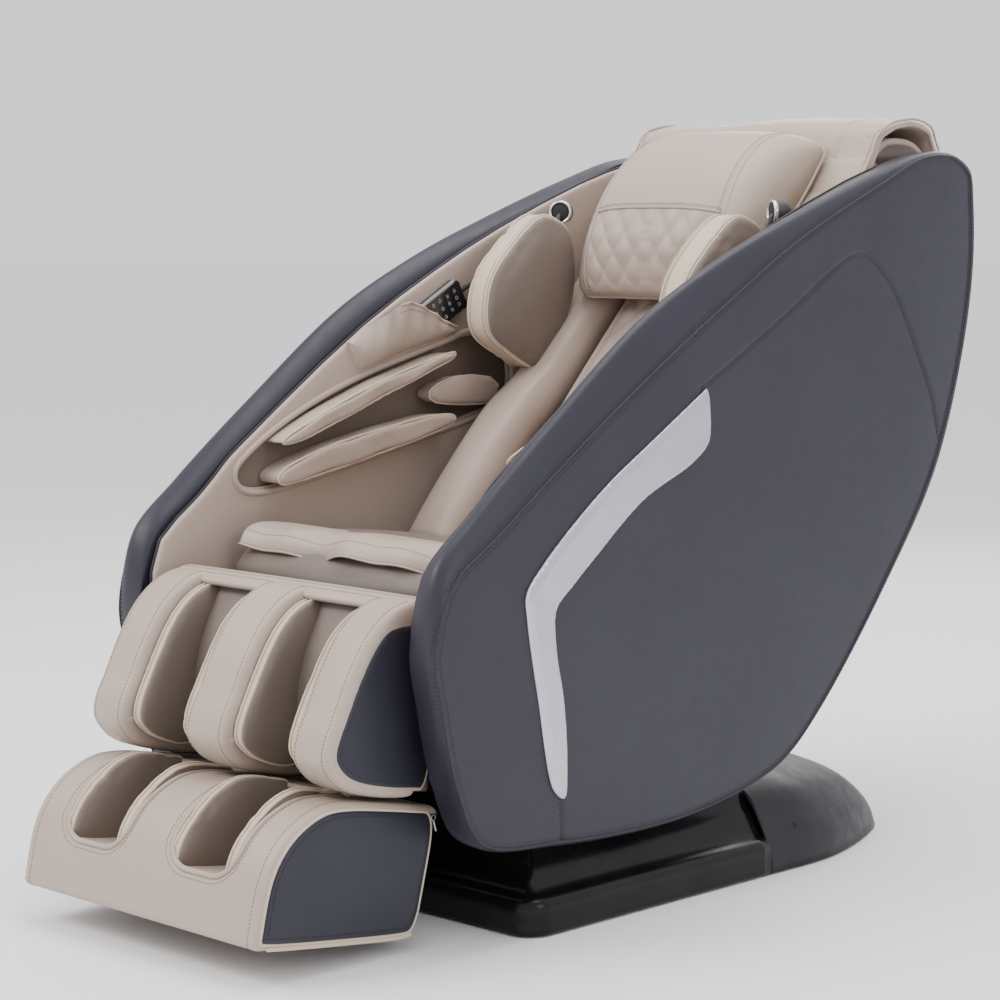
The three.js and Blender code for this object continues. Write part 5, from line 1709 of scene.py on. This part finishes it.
def skirt_outline(inward):
    """The skirt's plan from the split round the front, at a distance inwards."""
    radius = max(SKIRT_ROUND - inward, SKIRT_ROUND_MIN)
    half, front = BASE_HALF - inward, BASE_FRONT + inward
    side = [(half, y) for y in np.linspace(BASE_SPLIT - 0.001, front + radius + 0.01, 30)]
    side += [(half - radius + radius * math.cos(t), front + radius - radius * math.sin(t))
             for t in np.linspace(0, math.pi / 2, 14)]
    side += [(x, front) for x in np.linspace(half - radius - 0.02, 0.02, 10)]
    return array(side + [(-x, y) for x, y in side[::-1]])


def make_skirt():
    """The glossy front of the base: a foot, a hollow wall and an upright inside the shells."""
    section = spline(millimetres(SKIRT_SECTION), 90, True)
    plans = [skirt_outline(inward) for inward, _ in section]
    rows = [np.column_stack([plan, np.full(len(plan), z)]) for plan, (_, z) in zip(plans, section)]
    rings = np.stack(rows, axis=1)
    verts = rings.reshape(-1, 3)
    stations, sides = rings.shape[:2]
    faces = ring_faces(stations, sides)
    faces += [tuple(range(sides)), tuple(range(len(verts) - sides, len(verts)))]
    piece("base_skirt_shell", (verts, faces), SKIRT_BLACK, "base", ["base_skirt"])


def make_rear_cover():
    half = spline(millimetres(REAR_PLAN), 90)
    plan = np.vstack([half, (half * (-1, 1))[::-1][1:]])
    levels = spline(array(REAR_LEVELS) * (1, 1, MM), 40)
    verts = []
    for wall in (0.0, 0.004):
        for sx, sy, z in levels:
            for x, y in plan:
                verts.append((x * sx * (1 - wall * 3), BASE_SPLIT + 0.0012
                              + (y - BASE_SPLIT) * sy * (1 - wall * 2), max(0.003, z - wall)))
    count, rows = len(plan), len(levels)
    offset = rows * count
    faces = ring_faces(rows, count, False)
    faces += [tuple(i + offset for i in f)[::-1] for f in faces]
    for r in range(rows - 1):
        for c in (0, count - 1):
            a, b = r * count + c, (r + 1) * count + c
            faces.append((a, b, b + offset, a + offset))
    faces += [(c, c + 1, c + 1 + offset, c + offset) for c in range(count - 1)]
    top = (rows - 1) * count
    faces.append(tuple(range(top, top + count)))
    faces.append(tuple(range(top + offset, top + offset + count))[::-1])
    piece("base_rear_shell", (verts, faces), REAR_BLACK, "base", ["base_rear_cover"])
    for side, tag in SIDES:
        centre = array([side * 0.3765, 0.150, 0.072])
        normal = array([side * 0.93, 0.1, 0.34])
        normal /= np.linalg.norm(normal)
        across = np.cross(normal, (0, 0, 1))
        across /= np.linalg.norm(across)
        up = np.cross(across, normal)
        ring = [centre + 0.0052 * (across * math.cos(t) + up * math.sin(t)) for t in around(24)]
        plug = tube([centre - normal * t for t in (0.0, 0.002, 0.004)], 0.0045, False, 12)
        piece(f"base_screw_recess_{tag}", joined([tube(ring, 0.0011, True), plug]), RUBBER, "base")


FOOT_SECTION = ((0.001, 0.0), (0.021, 0.0002), (0.024, 0.002), (0.024, 0.006), (0.015, 0.009))


def make_feet():
    """Levelling feet under the floor plate's corners."""
    parts = []
    for x in (-0.3, 0.3):
        for y in (-0.48, 0.28):
            verts = [(x + radius * math.cos(t), y + radius * math.sin(t), z)
                     for radius, z in FOOT_SECTION for t in around(28)]
            parts.append((verts, ring_faces(len(FOOT_SECTION), 28)))
    piece("base_feet", joined(parts), RUBBER, "base")


KEPT_NODES = {
    "base_frame": STEEL, "seat_frame": STEEL, "back_frame": STEEL, "floor_plate": PLASTIC,
    "power_inlet": SATIN, "power_switch": KEY, "wheel_left": RUBBER, "wheel_right": RUBBER,
    "tilt_motor": SATIN, "recline_motor": SATIN, "legrest_motor": SATIN, "tilt_rod": ZINC,
    "recline_rod": ZINC, "legrest_rod": ZINC, "massage_carriage": SATIN,
    "massage_rollers": RUBBER, "foot_rails": ZINC,
}


def dress_frame():
    """Materials for the CAD nodes that are kept."""
    for name, material in KEPT_NODES.items():
        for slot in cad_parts[name].material_slots:
            slot.material = material


# ------------------------------------------------------------------ everything in order
make_camera()
make_cord()
make_studio()
for sign, word in SIDES:
    make_shell(sign, word)
    make_trim(sign, word)
    make_arm_panel(sign, word)
    make_arm_pads(sign, word)
make_remote()
make_pocket()
make_seat()
make_back()
make_calf()
make_foot()
make_skirt()
make_rear_cover()
make_feet()
dress_frame()
sew_all()

boxes = {"cad": CAD_BOX, "visual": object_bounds()}
({key: [[float(v) for v in corner] for corner in box]
           for key, box in boxes.items()})
